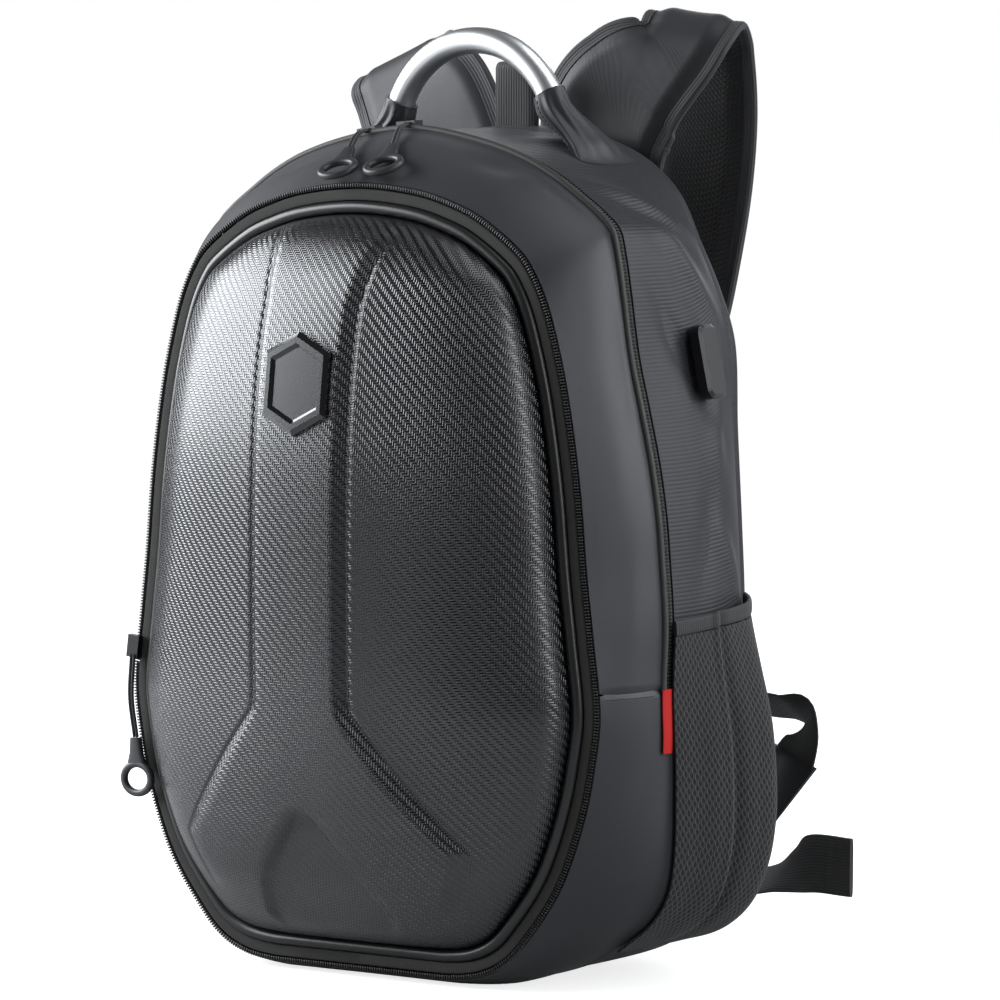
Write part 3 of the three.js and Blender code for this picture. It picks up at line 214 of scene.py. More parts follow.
def spline(points: Array, per: int, closed: bool = False) -> Array:
    """Centripetal Catmull-Rom curve through points: Barry-Goldman blends on knots |step|^0.5.

    Args:
        points: (n, d) points.
        per: samples for each span.
        closed: whether the last point joins the first.
    Returns:
        (spans * per [+ 1], d) points.
    """
    if closed:
        p = np.concatenate([points[-1:], points, points[:2]])
    else:
        p = np.concatenate([2 * points[:1] - points[1:2], points, 2 * points[-1:] - points[-2:-1]])
    steps = np.maximum(np.linalg.norm(np.diff(p, axis=0), axis=1), 1e-6) ** 0.5
    p0, p1, p2, p3 = p[:-3, None], p[1:-2, None], p[2:-1, None], p[3:, None]
    t1 = steps[:-2, None, None]
    t2 = t1 + steps[1:-1, None, None]
    t3 = t2 + steps[2:, None, None]
    t = t1 + (t2 - t1) * np.linspace(0, 1, per, endpoint=False)[None, :, None]
    a1 = p0 * (t1 - t) / t1 + p1 * t / t1
    a2 = (p1 * (t2 - t) + p2 * (t - t1)) / (t2 - t1)
    a3 = (p2 * (t3 - t) + p3 * (t - t2)) / (t3 - t2)
    b1 = a1 * (t2 - t) / t2 + a2 * t / t2
    b2 = (a2 * (t3 - t) + a3 * (t - t1)) / (t3 - t1)
    curve = ((b1 * (t2 - t) + b2 * (t - t1)) / (t2 - t1)).reshape(-1, points.shape[1])
    return curve if closed else np.concatenate([curve, points[-1:]])


def unit(v: Array) -> Array:
    """Vectors of length one along the last axis."""
    return v / np.maximum(np.linalg.norm(v, axis=-1, keepdims=True), 1e-9)


def lengths(points: Array) -> Array:
    """Distance along a polyline at each of its points, along the first axis."""
    steps = np.linalg.norm(np.diff(points, axis=0), axis=-1)
    return np.concatenate([np.zeros((1, *steps.shape[1:])), np.cumsum(steps, axis=0)])


def evenly(points: Array, spacing: float) -> Array:
    """The polyline again with points at even distances.

    Args:
        points: (n, d) points, whose columns are all carried along.
        spacing: distance aimed at.
    Returns:
        (m, d) points.
    """
    at = lengths(points)
    goal = np.linspace(0, at[-1], max(2, int(round(at[-1] / spacing)) + 1))
    return np.column_stack([np.interp(goal, at, points[:, k]) for k in range(points.shape[1])])


def smoothstep(x: Array, low: float, high: float) -> Array:
    """0 below low, 1 above high, s*s*(3 - 2s) between."""
    s = np.clip((x - low) / (high - low), 0, 1)
    return s * s * (3 - 2 * s)


def between(x: Array, rise: tuple[float, float], fall: tuple[float, float]) -> Array:
    """1 between a rise and a fall and 0 beyond both, as a product of two smooth steps."""
    return smoothstep(x, *rise) * (1 - smoothstep(x, *fall))


@dataclass(frozen=True)
class Outline:
    """Closed outline of the body in the XZ plane, symmetric about X = 0.

    Args:
        rows: (share of height, share of half width) from base to top.
        half_width: widest half width in mm.
        height: height in mm.
        lift: lowest level above the floor in mm.
    """

    rows: Array
    half_width: float
    height: float
    lift: float

    def side(self) -> Array:
        """Dense right half from the middle of the base to the middle of the top.

        Returns:
            (n, 2) points across and up.
        """
        up = self.lift + self.rows[:, 0] * self.height
        right = np.column_stack([self.rows[:, 1] * self.half_width, up])
        left = right[1:-1][::-1] * [-1, 1]
        loop = spline(np.concatenate([right, left]), OUTLINE_SAMPLES, closed=True)
        half = loop[: (len(right) - 1) * OUTLINE_SAMPLES + 1]
        half[:, 1] = np.maximum(half[:, 1], self.lift)
        return half

    def at(self, steps: Array) -> Array:
        """Points of the outline, even in length below and above the cross seam.

        Args:
            steps: places from 0 to ALL_STEPS, from the middle of the base up on the right-hand side.
        Returns:
            (n, 2) points across and up.
        """
        t = np.asarray(steps, float) % ALL_STEPS
        mirrored = t > TOP_STEP
        t = np.where(mirrored, ALL_STEPS - t, t)
        side = self.side()
        along = lengths(side)
        seam = np.interp(SEAM_HEIGHT, np.maximum.accumulate(side[:, 1]) + along * 1e-6, along)
        goal = np.where(
            t < LOWER_STEPS,
            seam * t / LOWER_STEPS,
            seam + (along[-1] - seam) * (t - LOWER_STEPS) / UPPER_STEPS,
        )
        x = np.interp(goal, along, side[:, 0])
        return np.column_stack([np.where(mirrored, -x, x), np.interp(goal, along, side[:, 1])])


RIM = Outline(RIM_ROWS, RIM_HALF_WIDTH, RIM_HEIGHT, RIM_LIFT)
ZIP = Outline(ZIP_ROWS, ZIP_HALF_WIDTH, ZIP_HEIGHT, 0)
REAR = Outline(REAR_ROWS, REAR_HALF_WIDTH, REAR_HEIGHT, REAR_LIFT)


def outward(points: Array) -> Array:
    """Outward directions of an outline's points, square to central differences of them."""
    along = unit(np.roll(points, -1, axis=0) - np.roll(points, 1, axis=0))
    return np.column_stack([along[:, 1], -along[:, 0]])


def open_normals(line: Array) -> Array:
    """Outward directions of a stretch of an outline, ends included."""
    along = np.gradient(line, axis=0)
    return unit(np.column_stack([along[:, 1], -along[:, 0]]))


def around(count: int, first: float = 0, last: float = ALL_STEPS) -> Array:
    """Steps along an outline, a whole turn without its repeated end, or a stretch with both ends."""
    return np.linspace(first, last, count, endpoint=last - first < ALL_STEPS)


def lifted(points: Array, y: Size) -> Array:
    """XZ points as XYZ points on a plane of constant Y."""
    return np.stack([points[..., 0], np.broadcast_to(y, points.shape[:-1]), points[..., 1]], -1)


# Solids


@dataclass
class Solid:
    """Vertices in mm, quads, and a UV in metres for each corner of each quad."""

    points: Array
    quads: Array
    uv: Array

    def turned(self, towards: Triple) -> "Solid":
        """The same sheet, turned over where its mean normal faces away.

        Args:
            towards: direction that it has to face.
        Returns:
            The sheet.
        """
        p = self.points[self.quads]
        normal = np.cross(p[:, 2] - p[:, 0], p[:, 3] - p[:, 1]).sum(0)
        if normal @ np.array(towards) < 0:
            return Solid(self.points, self.quads[:, ::-1], self.uv[:, ::-1])
        return self

    def closed(self) -> "Solid":
        """The same closed solid with its faces outwards, from the sign of its volume.

        Returns:
            The solid.
        """
        p = self.points[self.quads] - self.points.mean(0)
        volume = (np.cross(p[:, 1] - p[:, 0], p[:, 2] - p[:, 0]) * p[:, 0]).sum()
        volume += (np.cross(p[:, 2] - p[:, 0], p[:, 3] - p[:, 0]) * p[:, 0]).sum()
        if volume < 0:
            return Solid(self.points, self.quads[:, ::-1], self.uv[:, ::-1])
        return self

    def repeated(self, centres: Array, frames: Array) -> "Solid":
        """One copy for each centre: centre + point times frame.

        Args:
            centres: (n, 3) places of the copies.
            frames: (n, 3, 3) directions of the local x, y and z, one in each row.
        Returns:
            All copies as one solid.
        """
        n, k = len(centres), len(self.points)
        points = centres[:, None] + np.einsum("kc,ncd->nkd", self.points, frames)
        quads = self.quads[None] + (np.arange(n) * k)[:, None, None]
        return Solid(points.reshape(-1, 3), quads.reshape(-1, 4), np.tile(self.uv, (n, 1, 1)))


def join(*solids: Solid) -> Solid:
    """Several solids as one.

    Args:
        solids: the solids in order.
    Returns:
        One solid with all their points and quads.
    """
    offsets = np.cumsum([0] + [len(s.points) for s in solids[:-1]])
    return Solid(
        np.concatenate([s.points for s in solids]),
        np.concatenate([s.quads + o for s, o in zip(solids, offsets)]),
        np.concatenate([s.uv for s in solids]),
    )


def loft(loops: Array, ring: bool = False) -> Solid:
    """Closed surface over cross-section loops: quads between neighbours along and around.

    Args:
        loops: (stations, around, 3) points, with an even number around.
        ring: whether the last station joins the first; otherwise both ends are capped by strips.
    Returns:
        The solid, with a UV of the distances along and around.
    """
    n, m = loops.shape[:2]
    i = np.arange(n if ring else n - 1)[:, None]
    j = np.arange(m)[None]
    a, b, k = i * m, ((i + 1) % n) * m, (j + 1) % m
    quads = np.stack([a + j, b + j, b + k, a + k], -1).reshape(-1, 4)
    closed = np.concatenate([loops, loops[:, :1]], 1)
    closed = np.concatenate([closed, closed[:1]]) if ring else closed
    grid = np.stack([lengths(closed), lengths(closed.swapaxes(0, 1)).swapaxes(0, 1)], -1) * MM
    corner = [grid[i, j], grid[i + 1, j], grid[i + 1, j + 1], grid[i, j + 1]]
    uv = np.stack(corner, 2).reshape(-1, 4, 2)
    if not ring:
        h = np.arange(m // 2 - 1)
        cap = np.stack([h, h + 1, m - 2 - h, m - 1 - h], -1)
        quads = np.concatenate([quads, cap, cap[:, ::-1] + (n - 1) * m])
        uv = np.concatenate([uv, grid[0][cap], grid[-1][cap[:, ::-1]]])
    return Solid(loops.reshape(-1, 3), quads, uv).closed()


def sheet(grid: Array, towards: Triple, uv: Array | None = None) -> Solid:
    """Open sheet over a lattice.

    Args:
        grid: (rows, columns, 3) points.
        towards: direction that the sheet faces.
        uv: (rows, columns, 2) UV, or the distances along rows and columns.
    Returns:
        The sheet.
    """
    n, m = grid.shape[:2]
    i, j = np.arange(n - 1)[:, None], np.arange(m - 1)[None]
    a = i * m + j
    quads = np.stack([a, a + m, a + m + 1, a + 1], -1).reshape(-1, 4)
    if uv is None:
        uv = np.stack([lengths(grid), lengths(grid.swapaxes(0, 1)).swapaxes(0, 1)], -1) * MM
    return Solid(grid.reshape(-1, 3), quads, uv.reshape(-1, 2)[quads]).turned(towards)


def normals_of(grid: Array) -> Array:
    """Unit normals of a lattice: cross product of the differences along its rows and columns."""
    return unit(np.cross(np.gradient(grid, axis=0), np.gradient(grid, axis=1)))


def walled(grid: Array, thickness: float, flip: bool = False) -> Solid:
    """Cloth wall: the lattice and the same lattice moved inwards by its thickness."""
    normal = normals_of(grid) * (-1 if flip else 1)
    return loft(np.concatenate([grid, (grid - normal * thickness)[:, ::-1]], 1))


def rounded_section(half_width: Size, half_height: Size, sides: int, power: float) -> Array:
    """Superellipse |x/w|^p + |y/h|^p = 1.

    Args:
        half_width: half of the first axis in mm, one number or one for each station.
        half_height: half of the second axis in mm, likewise.
        sides: points round the section.
        power: 2 for an ellipse, more for a squarer form.
    Returns:
        (..., sides, 2) points, from the end of the first axis round.
    """
    angle = 2 * np.pi * (np.arange(sides) + 0.5) / sides
    c, s = np.cos(angle), np.sin(angle)
    w, h = np.asarray(half_width)[..., None], np.asarray(half_height)[..., None]
    across = w * np.sign(c) * np.abs(c) ** (2 / power)
    return np.stack([across, h * np.sign(s) * np.abs(s) ** (2 / power)], -1)


def swept(path: Array, wide: Array, section: Array, ring: bool = False) -> Solid:
    """A section (sides, 2) or one for each station carried along a path.

    Args:
        path: (n, 3) points of the middle line.
        wide: (n, 3) direction of the section's first axis; the second is square to it and the path.
        section: section points across and out.
        ring: whether the path is closed.
    Returns:
        The swept solid.
    """
    after, before = np.roll(path, -1, 0), np.roll(path, 1, 0)
    along = unit(after - before) if ring else unit(np.gradient(path, axis=0))
    face = unit(np.cross(along, wide))
    side = unit(np.cross(face, along))
    section = np.broadcast_to(section, (len(path), *section.shape[-2:]))
    loops = path[:, None] + section[..., :1] * side[:, None] + section[..., 1:] * face[:, None]
    return loft(loops, ring)


def bead(sides: int = 6) -> Solid:
    """Small bar with tapered ends, from -1 to 1 on each local axis, its length along local x.

    Args:
        sides: sides of the bar.
    Returns:
        The bar.
    """
    x = np.array([-1, -0.7, 0.7, 1])
    r = np.array([0.45, 1, 1, 0.45])
    angle = 2 * np.pi * np.arange(sides) / sides
    ring = np.stack([np.zeros(sides), np.cos(angle), np.sin(angle)], -1)
    loops = ring[None] * r[:, None, None]
    loops[..., 0] = x[:, None]
    return loft(loops)


def beads_along(path: Array, out: Array, pitch: float, size: Triple, across: bool) -> Solid:
    """Zip coils or stitches: one small bar at each pitch of a path.

    Args:
        path: (n, 3) line through the bars.
        out: (n, 3) outward direction of the cloth.
        pitch: distance between bars in mm.
        size: half length, half width and half height of a bar in mm.
        across: bars lie across the path for coils, along it for stitches.
    Returns:
        All bars as one solid.
    """
    both = evenly(np.concatenate([path, out], 1), 0.2)
    at = lengths(both[:, :3])
    goal = np.arange(pitch / 2, at[-1], pitch)
    row = np.column_stack([np.interp(goal, at, both[:, k]) for k in range(6)])
    centre, normal = row[:, :3], unit(row[:, 3:])
    along = unit(np.gradient(centre, axis=0))
    side = unit(np.cross(along, normal))
    x, y = (side, along) if across else (along, side)
    frames = np.stack([x * size[0], y * size[1], normal * size[2]], 1)
    return bead().repeated(centre, frames).closed()


@dataclass(frozen=True)
class Fold:
    """A ridge, or a dent where its height is negative, in a cloth surface.

    Args:
        centre: its middle in mm.
        along: direction of the ridge.
        length: half length in mm.
        width: half width in mm.
        height: height in mm along the surface's normal.
    """

    centre: Triple
    along: Triple
    length: float
    width: float
    height: float


def fold_relief(points: Array, folds: tuple[Fold, ...]) -> Array:
    """Sum over folds of height * exp(-(side/width)^2) * exp(-(along/length)^2).

    Args:
        points: (..., 3) points of the cloth in mm.
        folds: the ridges and dents.
    Returns:
        (...) heights in mm.
    """
    total = np.zeros(points.shape[:-1])
    for fold in folds:
        axis = unit(np.array(fold.along, float))
        away = points - np.array(fold.centre, float)
        along = away @ axis
        side = np.linalg.norm(away - along[..., None] * axis, axis=-1)
        total += fold.height * np.exp(-((side / fold.width) ** 2) - (along / fold.length) ** 2)
    return total


WAVES = 8


def ripple(points: Array, scale: float, seed: int) -> Array:
    """Soft cloth unevenness from -1 to 1: mean of eight sine waves in seeded directions.

    Args:
        points: (..., 3) points of the cloth in mm.
        scale: rough wave length in mm.
        seed: seed of the directions and phases.
    Returns:
        (...) values.
    """
    rng = np.random.default_rng(seed)
    total = np.zeros(points.shape[:-1])
    for _ in range(WAVES):
        direction = unit(rng.normal(size=3)) * rng.uniform(0.6, 1.5) / scale
        total += np.sin(points @ direction * 2 * np.pi + rng.uniform(0, 6.28))
    return total / WAVES


# Finishes


class Relief(Enum):
    """Fine surface pattern of a finish."""

    NONE = "none"
    TWILL = "twill"
    RIB = "rib"
    WEAVE = "weave"
    NET = "net"


@dataclass(frozen=True)
class Finish:
    """How a piece's surface looks.

    Args:
        slot: the record's material slot, which here only starts the material's name.
        color: linear base colour.
        rough: Principled roughness.
        relief: fine pattern.
        pitch: pattern repeat in mm.
        depth: pattern depth in mm.
        second: linear colour painted into the pattern's hollows as shade.
        metallic: Principled metallic.
        specular: Principled specular level.
        sheen: sheen weight of soft cloth.
        coat: clear coat weight.
        tone: how far noise darkens and lightens the colour.
        turn: turns ribs to run along the piece.
    """

    slot: str
    color: Triple
    rough: float
    relief: Relief = Relief.NONE
    pitch: float = 1.0
    depth: float = 0.1
    second: Triple | None = None
    metallic: float = 0.0
    specular: float = 0.5
    sheen: float = 0.0
    coat: float = 0.0
    tone: float = 0.0
    turn: bool = False


# The second colour of each patterned finish is shade painted into its pattern's hollows.
SHELL = Finish(
    "shell", (0.0115, 0.012, 0.014), 0.26, Relief.TWILL, 1.45, 0.24, (0.003, 0.003, 0.004),
    specular=0.8, coat=0.12,
)
PIPING = Finish("piping", (0.012, 0.012, 0.012), 0.36, specular=0.5, tone=0.1)
TAPE = Finish("tape", (0.028, 0.027, 0.023), 0.8, Relief.RIB, 1.6, 0.1, (0.012, 0.012, 0.01))
WELT = Finish("cloth", (0.03, 0.029, 0.026), 0.6, Relief.RIB, 1.6, 0.06, (0.018, 0.018, 0.016))
TEETH = Finish("teeth", (0.012, 0.012, 0.012), 0.4)
SATIN = Finish(
    "cloth", (0.027, 0.0275, 0.031), 0.46, Relief.WEAVE, 1.5, 0.035, (0.02, 0.02, 0.023),
    specular=0.35, sheen=0.08, tone=0.12,
)
RIBBED = Finish(
    "rib", (0.022, 0.0225, 0.026), 0.5, Relief.RIB, 2.3, 0.14, (0.012, 0.012, 0.014),
    specular=0.32, sheen=0.06, tone=0.12,
)
PAD = Finish(
    "pad", (0.02, 0.0205, 0.023), 0.52, Relief.WEAVE, 1.6, 0.05, (0.013, 0.013, 0.015),
    specular=0.3, sheen=0.06, tone=0.12,
)
AIR_MESH = Finish(
    "pad", (0.009, 0.009, 0.01), 0.9, Relief.NET, 3.2, 0.5, (0.001, 0.001, 0.001), sheen=0.1,
)
NET = Finish(
    "net", (0.022, 0.022, 0.022), 0.8, Relief.NET, 3.8, 0.5, (0.002, 0.002, 0.002),
    sheen=0.1, tone=0.1, turn=True,
)
HEM = Finish(
    "webbing", (0.024, 0.024, 0.0235), 0.75, Relief.RIB, 1.8, 0.12, (0.014, 0.014, 0.014),
    sheen=0.08,
)
WEBBING = Finish(
    "webbing", (0.027, 0.027, 0.0275), 0.7, Relief.RIB, 1.8, 0.2, (0.008, 0.008, 0.008),
    sheen=0.08, turn=True,
)
BINDING = Finish(
    "pad", (0.024, 0.024, 0.026), 0.7, Relief.RIB, 1.8, 0.2, (0.006, 0.006, 0.007),
    sheen=0.08, turn=True,
)
THREAD = Finish("webbing", (0.02, 0.02, 0.021), 0.6)
LABEL = Finish(
    "label", (0.5, 0.012, 0.01), 0.6, Relief.WEAVE, 1.4, 0.05, (0.36, 0.008, 0.006), specular=0.2,
)
PLASTIC = Finish("plastic", (0.008, 0.008, 0.009), 0.35, tone=0.1)
BADGE = Finish("badge", (0.02, 0.02, 0.022), 0.14, metallic=0.6, coat=1.0)
METAL = Finish("metal", (0.8, 0.81, 0.82), 0.36, metallic=1.0)
RUBBER = Finish("rubber", (0.028, 0.028, 0.03), 0.42, specular=0.5)


# Roughness of every clear coat, and size and detail of the noise that tones a colour
COAT_ROUGHNESS = 0.18
TONE_SCALE = 16.0
TONE_DETAIL = 4.0
# Twill: how round a thread is across, and the height of weft against warp
THREAD_ROUNDING = 0.6
WEFT_HEIGHT = 0.7
# Net: stretch of its cells, and inner and outer edge of a hole in cells
NET_STRETCH = 0.62
HOLE_INNER = 0.2
HOLE_OUTER = 0.32
# Softened edges of the hard pieces
BEVEL_SEGMENTS = 3
BEVEL_ANGLE = 40.0


class Nodes:
    """Thin writer of math chains in one node tree.

    Args:
        tree: the node tree that is written to.
    """

    def __init__(self, tree: bpy.types.NodeTree) -> None:
        """Keeps the tree."""
        self.tree = tree

    def new(self, kind: str, **values: object) -> bpy.types.Node:
        """Adds a node.

        Args:
            kind: its type name.
            values: attributes to set on it.
        Returns:
            The node.
        """
        node = self.tree.nodes.new(kind)
        for key, value in values.items():
            setattr(node, key, value)
        return node

    def link(self, source: bpy.types.NodeSocket, target: bpy.types.NodeSocket) -> None:
        """Joins two sockets."""
        self.tree.links.new(source, target)

    def math(self, operation: str, *inputs: object) -> bpy.types.NodeSocket:
        """Adds a math node.

        Args:
            operation: the node's operation.
            inputs: sockets to link or numbers to set, in order.
        Returns:
            Its output.
        """
        node = self.new("ShaderNodeMath", operation=operation)
        for socket, value in zip(node.inputs, inputs):
            if isinstance(value, bpy.types.NodeSocket):
                self.link(value, socket)
            else:
                socket.default_value = value
        return node.outputs[0]


def pattern_group(name: str) -> tuple[bpy.types.NodeTree, Nodes, list[bpy.types.NodeSocket]]:
    """New group from Vector and Pitch to Height and HollowShade, the mask of the hollows that get
    painted shade, its cells being Vector / Pitch.

    Args:
        name: name of the group.
    Returns:
        The group, its writer, and its two cell coordinates.
    """
    group = bpy.data.node_groups.new(name, "ShaderNodeTree")
    group.interface.new_socket("Vector", in_out="INPUT", socket_type="NodeSocketVector")
    group.interface.new_socket("Pitch", in_out="INPUT", socket_type="NodeSocketFloat")
    group.interface.new_socket("Height", in_out="OUTPUT", socket_type="NodeSocketFloat")
    group.interface.new_socket("HollowShade", in_out="OUTPUT", socket_type="NodeSocketFloat")
    nodes = Nodes(group)
    entry = nodes.new("NodeGroupInput")
    split = nodes.new("ShaderNodeSeparateXYZ")
    nodes.link(entry.outputs["Vector"], split.inputs[0])
    cells = [nodes.math("DIVIDE", split.outputs[k], entry.outputs["Pitch"]) for k in range(2)]
    return group, nodes, cells


def close_group(
    nodes: Nodes, height: bpy.types.NodeSocket, shade_mask: bpy.types.NodeSocket
) -> None:
    """Joins the two results to the group's outputs.

    Args:
        nodes: the group's writer.
        height: relief from 0 to 1.
        shade_mask: mask of the pattern's hollows, where shade is painted into the colour.
    """
    leave = nodes.new("NodeGroupOutput")
    nodes.link(height, leave.inputs["Height"])
    nodes.link(shade_mask, leave.inputs["HollowShade"])


def twill_group() -> bpy.types.NodeTree:
    """Two-by-two twill: warp shows where (floor u + floor v) mod 4 is under 2, each thread rounded.

    Returns:
        The group.
    """
    group, nodes, (u, v) = pattern_group("TwillPattern")
    total = nodes.math("ADD", nodes.math("FLOOR", u), nodes.math("FLOOR", v))
    warp = nodes.math("LESS_THAN", nodes.math("FLOORED_MODULO", total, 4.0), 1.5)
    across_u = nodes.math("SINE", nodes.math("MULTIPLY", nodes.math("FRACT", u), math.pi))
    across_v = nodes.math("SINE", nodes.math("MULTIPLY", nodes.math("FRACT", v), math.pi))
    warp_part = nodes.math("MULTIPLY", warp, nodes.math("POWER", across_u, THREAD_ROUNDING))
    weft = nodes.math("SUBTRACT", 1.0, warp)
    weft_part = nodes.math("MULTIPLY", weft, nodes.math("POWER", across_v, THREAD_ROUNDING))
    height = nodes.math("ADD", warp_part, nodes.math("MULTIPLY", weft_part, WEFT_HEIGHT))
    # Painted shade: the lower weft cells take the darker second colour.
    close_group(nodes, height, nodes.math("SUBTRACT", 1.0, warp))
    return group


def rib_group() -> bpy.types.NodeTree:
    """Round ribs across the first coordinate: |sin(pi u)|.

    Returns:
        The group.
    """
    group, nodes, (u, _) = pattern_group("RibPattern")
    height = nodes.math("ABSOLUTE", nodes.math("SINE", nodes.math("MULTIPLY", u, math.pi)))
    # Painted shade in the grooves between the ribs.
    close_group(nodes, height, nodes.math("POWER", nodes.math("SUBTRACT", 1.0, height), 1.5))
    return group


def weave_group() -> bpy.types.NodeTree:
    """Plain weave: (1 + sin(2 pi u) * sin(2 pi v)) / 2.

    Returns:
        The group.
    """
    group, nodes, (u, v) = pattern_group("WeavePattern")
    waves = [nodes.math("SINE", nodes.math("MULTIPLY", c, 2 * math.pi)) for c in (u, v)]
    height = nodes.math("MULTIPLY_ADD", nodes.math("MULTIPLY", *waves), 0.5, 0.5)
    # Painted shade where the weave lies low.
    close_group(nodes, height, nodes.math("SUBTRACT", 1.0, height))
    return group


def net_group() -> bpy.types.NodeTree:
    """Spacer mesh: round hollows on a staggered lattice, from the nearer of two offset grids.

    Returns:
        The group.
    """
    group, nodes, (u, v) = pattern_group("NetPattern")
    v = nodes.math("MULTIPLY", v, NET_STRETCH)

    def distance(shift: float) -> bpy.types.NodeSocket:
        """Distance to the middle of the cell in the grid moved by `shift` cells.

        Args:
            shift: the move, along both coordinates.
        Returns:
            Output of the last node.
        """
        parts = []
        for c in (u, v):
            f = nodes.math("SUBTRACT", nodes.math("FRACT", nodes.math("ADD", c, shift)), 0.5)
            parts.append(nodes.math("MULTIPLY", f, f))
        return nodes.math("SQRT", nodes.math("ADD", *parts))

    near = nodes.math("MINIMUM", distance(0.0), distance(0.5))
    ramp = nodes.new("ShaderNodeMapRange", interpolation_type="SMOOTHSTEP")
    ramp.inputs["From Min"].default_value = HOLE_INNER
    ramp.inputs["From Max"].default_value = HOLE_OUTER
    nodes.link(near, ramp.inputs["Value"])
    # Painted shade in the net's holes.
    close_group(nodes, ramp.outputs[0], nodes.math("SUBTRACT", 1.0, ramp.outputs[0]))
    return group


GROUPS = {
    Relief.TWILL: twill_group(),
    Relief.RIB: rib_group(),
    Relief.WEAVE: weave_group(),
    Relief.NET: net_group(),
}


def material(name: str, finish: Finish) -> bpy.types.Material:
    """Principled material of a finish, its pattern group driving bump and the colour, with shade
    painted into the pattern's hollows.

    Args:
        name: name of the material.
        finish: the finish.
    Returns:
        The material.
    """
    made = bpy.data.materials.new(name)
    made.use_nodes = True
    nodes = Nodes(made.node_tree)
    shader = made.node_tree.nodes["Principled BSDF"]
    values = {
        "Base Color": (*finish.color, 1), "Roughness": finish.rough, "Metallic": finish.metallic,
        "Specular IOR Level": finish.specular, "Sheen Weight": finish.sheen,
        "Coat Weight": finish.coat, "Coat Roughness": COAT_ROUGHNESS,
    }
    for key, value in values.items():
        shader.inputs[key].default_value = value
    if finish.relief is Relief.NONE and not finish.tone:
        return made
    coordinates = nodes.new("ShaderNodeTexCoord")
    uv = nodes.new("ShaderNodeUVMap", uv_map="Cloth")
    shade_mix = nodes.new("ShaderNodeMix", data_type="RGBA")
    shade_mix.inputs[6].default_value = (*finish.color, 1)
    # The second colour is shade painted into the pattern's hollows.
    shade_mix.inputs[7].default_value = (*(finish.second or finish.color), 1)
    shade_mix.inputs[0].default_value = 0.0
    if finish.relief is not Relief.NONE:
        mapping = nodes.new("ShaderNodeMapping")
        mapping.inputs["Rotation"].default_value = (0, 0, math.pi / 2 if finish.turn else 0)
        nodes.link(uv.outputs[0], mapping.inputs["Vector"])
        group = nodes.new("ShaderNodeGroup", node_tree=GROUPS[finish.relief])
        group.inputs["Pitch"].default_value = finish.pitch * MM
        nodes.link(mapping.outputs[0], group.inputs["Vector"])
        bump = nodes.new("ShaderNodeBump")
        bump.inputs["Strength"].default_value = 1.0
        bump.inputs["Distance"].default_value = finish.depth * MM
        nodes.link(group.outputs["Height"], bump.inputs["Height"])
        nodes.link(bump.outputs[0], shader.inputs["Normal"])
        nodes.link(group.outputs["HollowShade"], shade_mix.inputs[0])
    noise = nodes.new("ShaderNodeTexNoise")
    noise.inputs["Scale"].default_value = TONE_SCALE
    noise.inputs["Detail"].default_value = TONE_DETAIL
    nodes.link(coordinates.outputs["Object"], noise.inputs["Vector"])
    value = nodes.math("MULTIPLY_ADD", noise.outputs[0], 2 * finish.tone, 1 - finish.tone)
    tone = nodes.new("ShaderNodeHueSaturation")
    nodes.link(value, tone.inputs["Value"])
    nodes.link(shade_mix.outputs[2], tone.inputs["Color"])
    nodes.link(tone.outputs[0], shader.inputs["Base Color"])
    return made


class Wardrobe:
    """Materials made once for each finish."""

    def __init__(self) -> None:
        """Starts empty."""
        self.made: dict[Finish, bpy.types.Material] = {}

    def __call__(self, finish: Finish) -> bpy.types.Material:
        """The material of a finish, made at its first use.

        Args:
            finish: the finish.
        Returns:
            Its material.
        """
        if finish not in self.made:
            self.made[finish] = material(f"{finish.slot}_{len(self.made)}", finish)
        return self.made[finish]


wardrobe = Wardrobe()


def piece(
    name: str, solid: Solid, finish: Finish, *stands_for: str, crease: float = 55.0
) -> bpy.types.Object:
    """Writes a solid to a mesh object that rides on the body.

    Args:
        name: piece name.
        solid: geometry in mm.
        finish: its finish.
        stands_for: CAD nodes that it replaces.
        crease: edges sharper than this angle in degrees stay sharp.
    Returns:
        The new object.
    """
    mesh = bpy.data.meshes.new(name)
    mesh.from_pydata((solid.points * MM).tolist(), [], solid.quads.tolist())
    layer = mesh.uv_layers.new(name="Cloth")
    layer.data.foreach_set("uv", solid.uv.astype(np.float32).ravel())
    mesh.polygons.foreach_set("use_smooth", np.ones(len(mesh.polygons), bool))
    mesh.update()
    mesh.set_sharp_from_angle(angle=math.radians(crease))
    mesh.materials.append(wardrobe(finish))
    made = bpy.data.objects.new(name, mesh)
    bpy.context.scene.collection.objects.link(made)
    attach(made, "root")
    if stands_for:
        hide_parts(*stands_for)
    log.info("%s: %d quads", name, len(solid.quads))
    return made


def kept(node: str, finish: Finish, bevel: float) -> None:
    """Shows a hard CAD node itself with a finish and softened edges.

    Args:
        node: name of the node.
        finish: its finish.
        bevel: width of the softened edges in mm.
    """
    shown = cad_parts[node]
    shown.data.materials.clear()
    shown.data.materials.append(wardrobe(finish))
    cut = shown.modifiers.new("edges", "BEVEL")
    cut.width = bevel * MM
    cut.segments = BEVEL_SEGMENTS
    cut.limit_method = "ANGLE"
    cut.angle_limit = math.radians(BEVEL_ANGLE)


# The shell


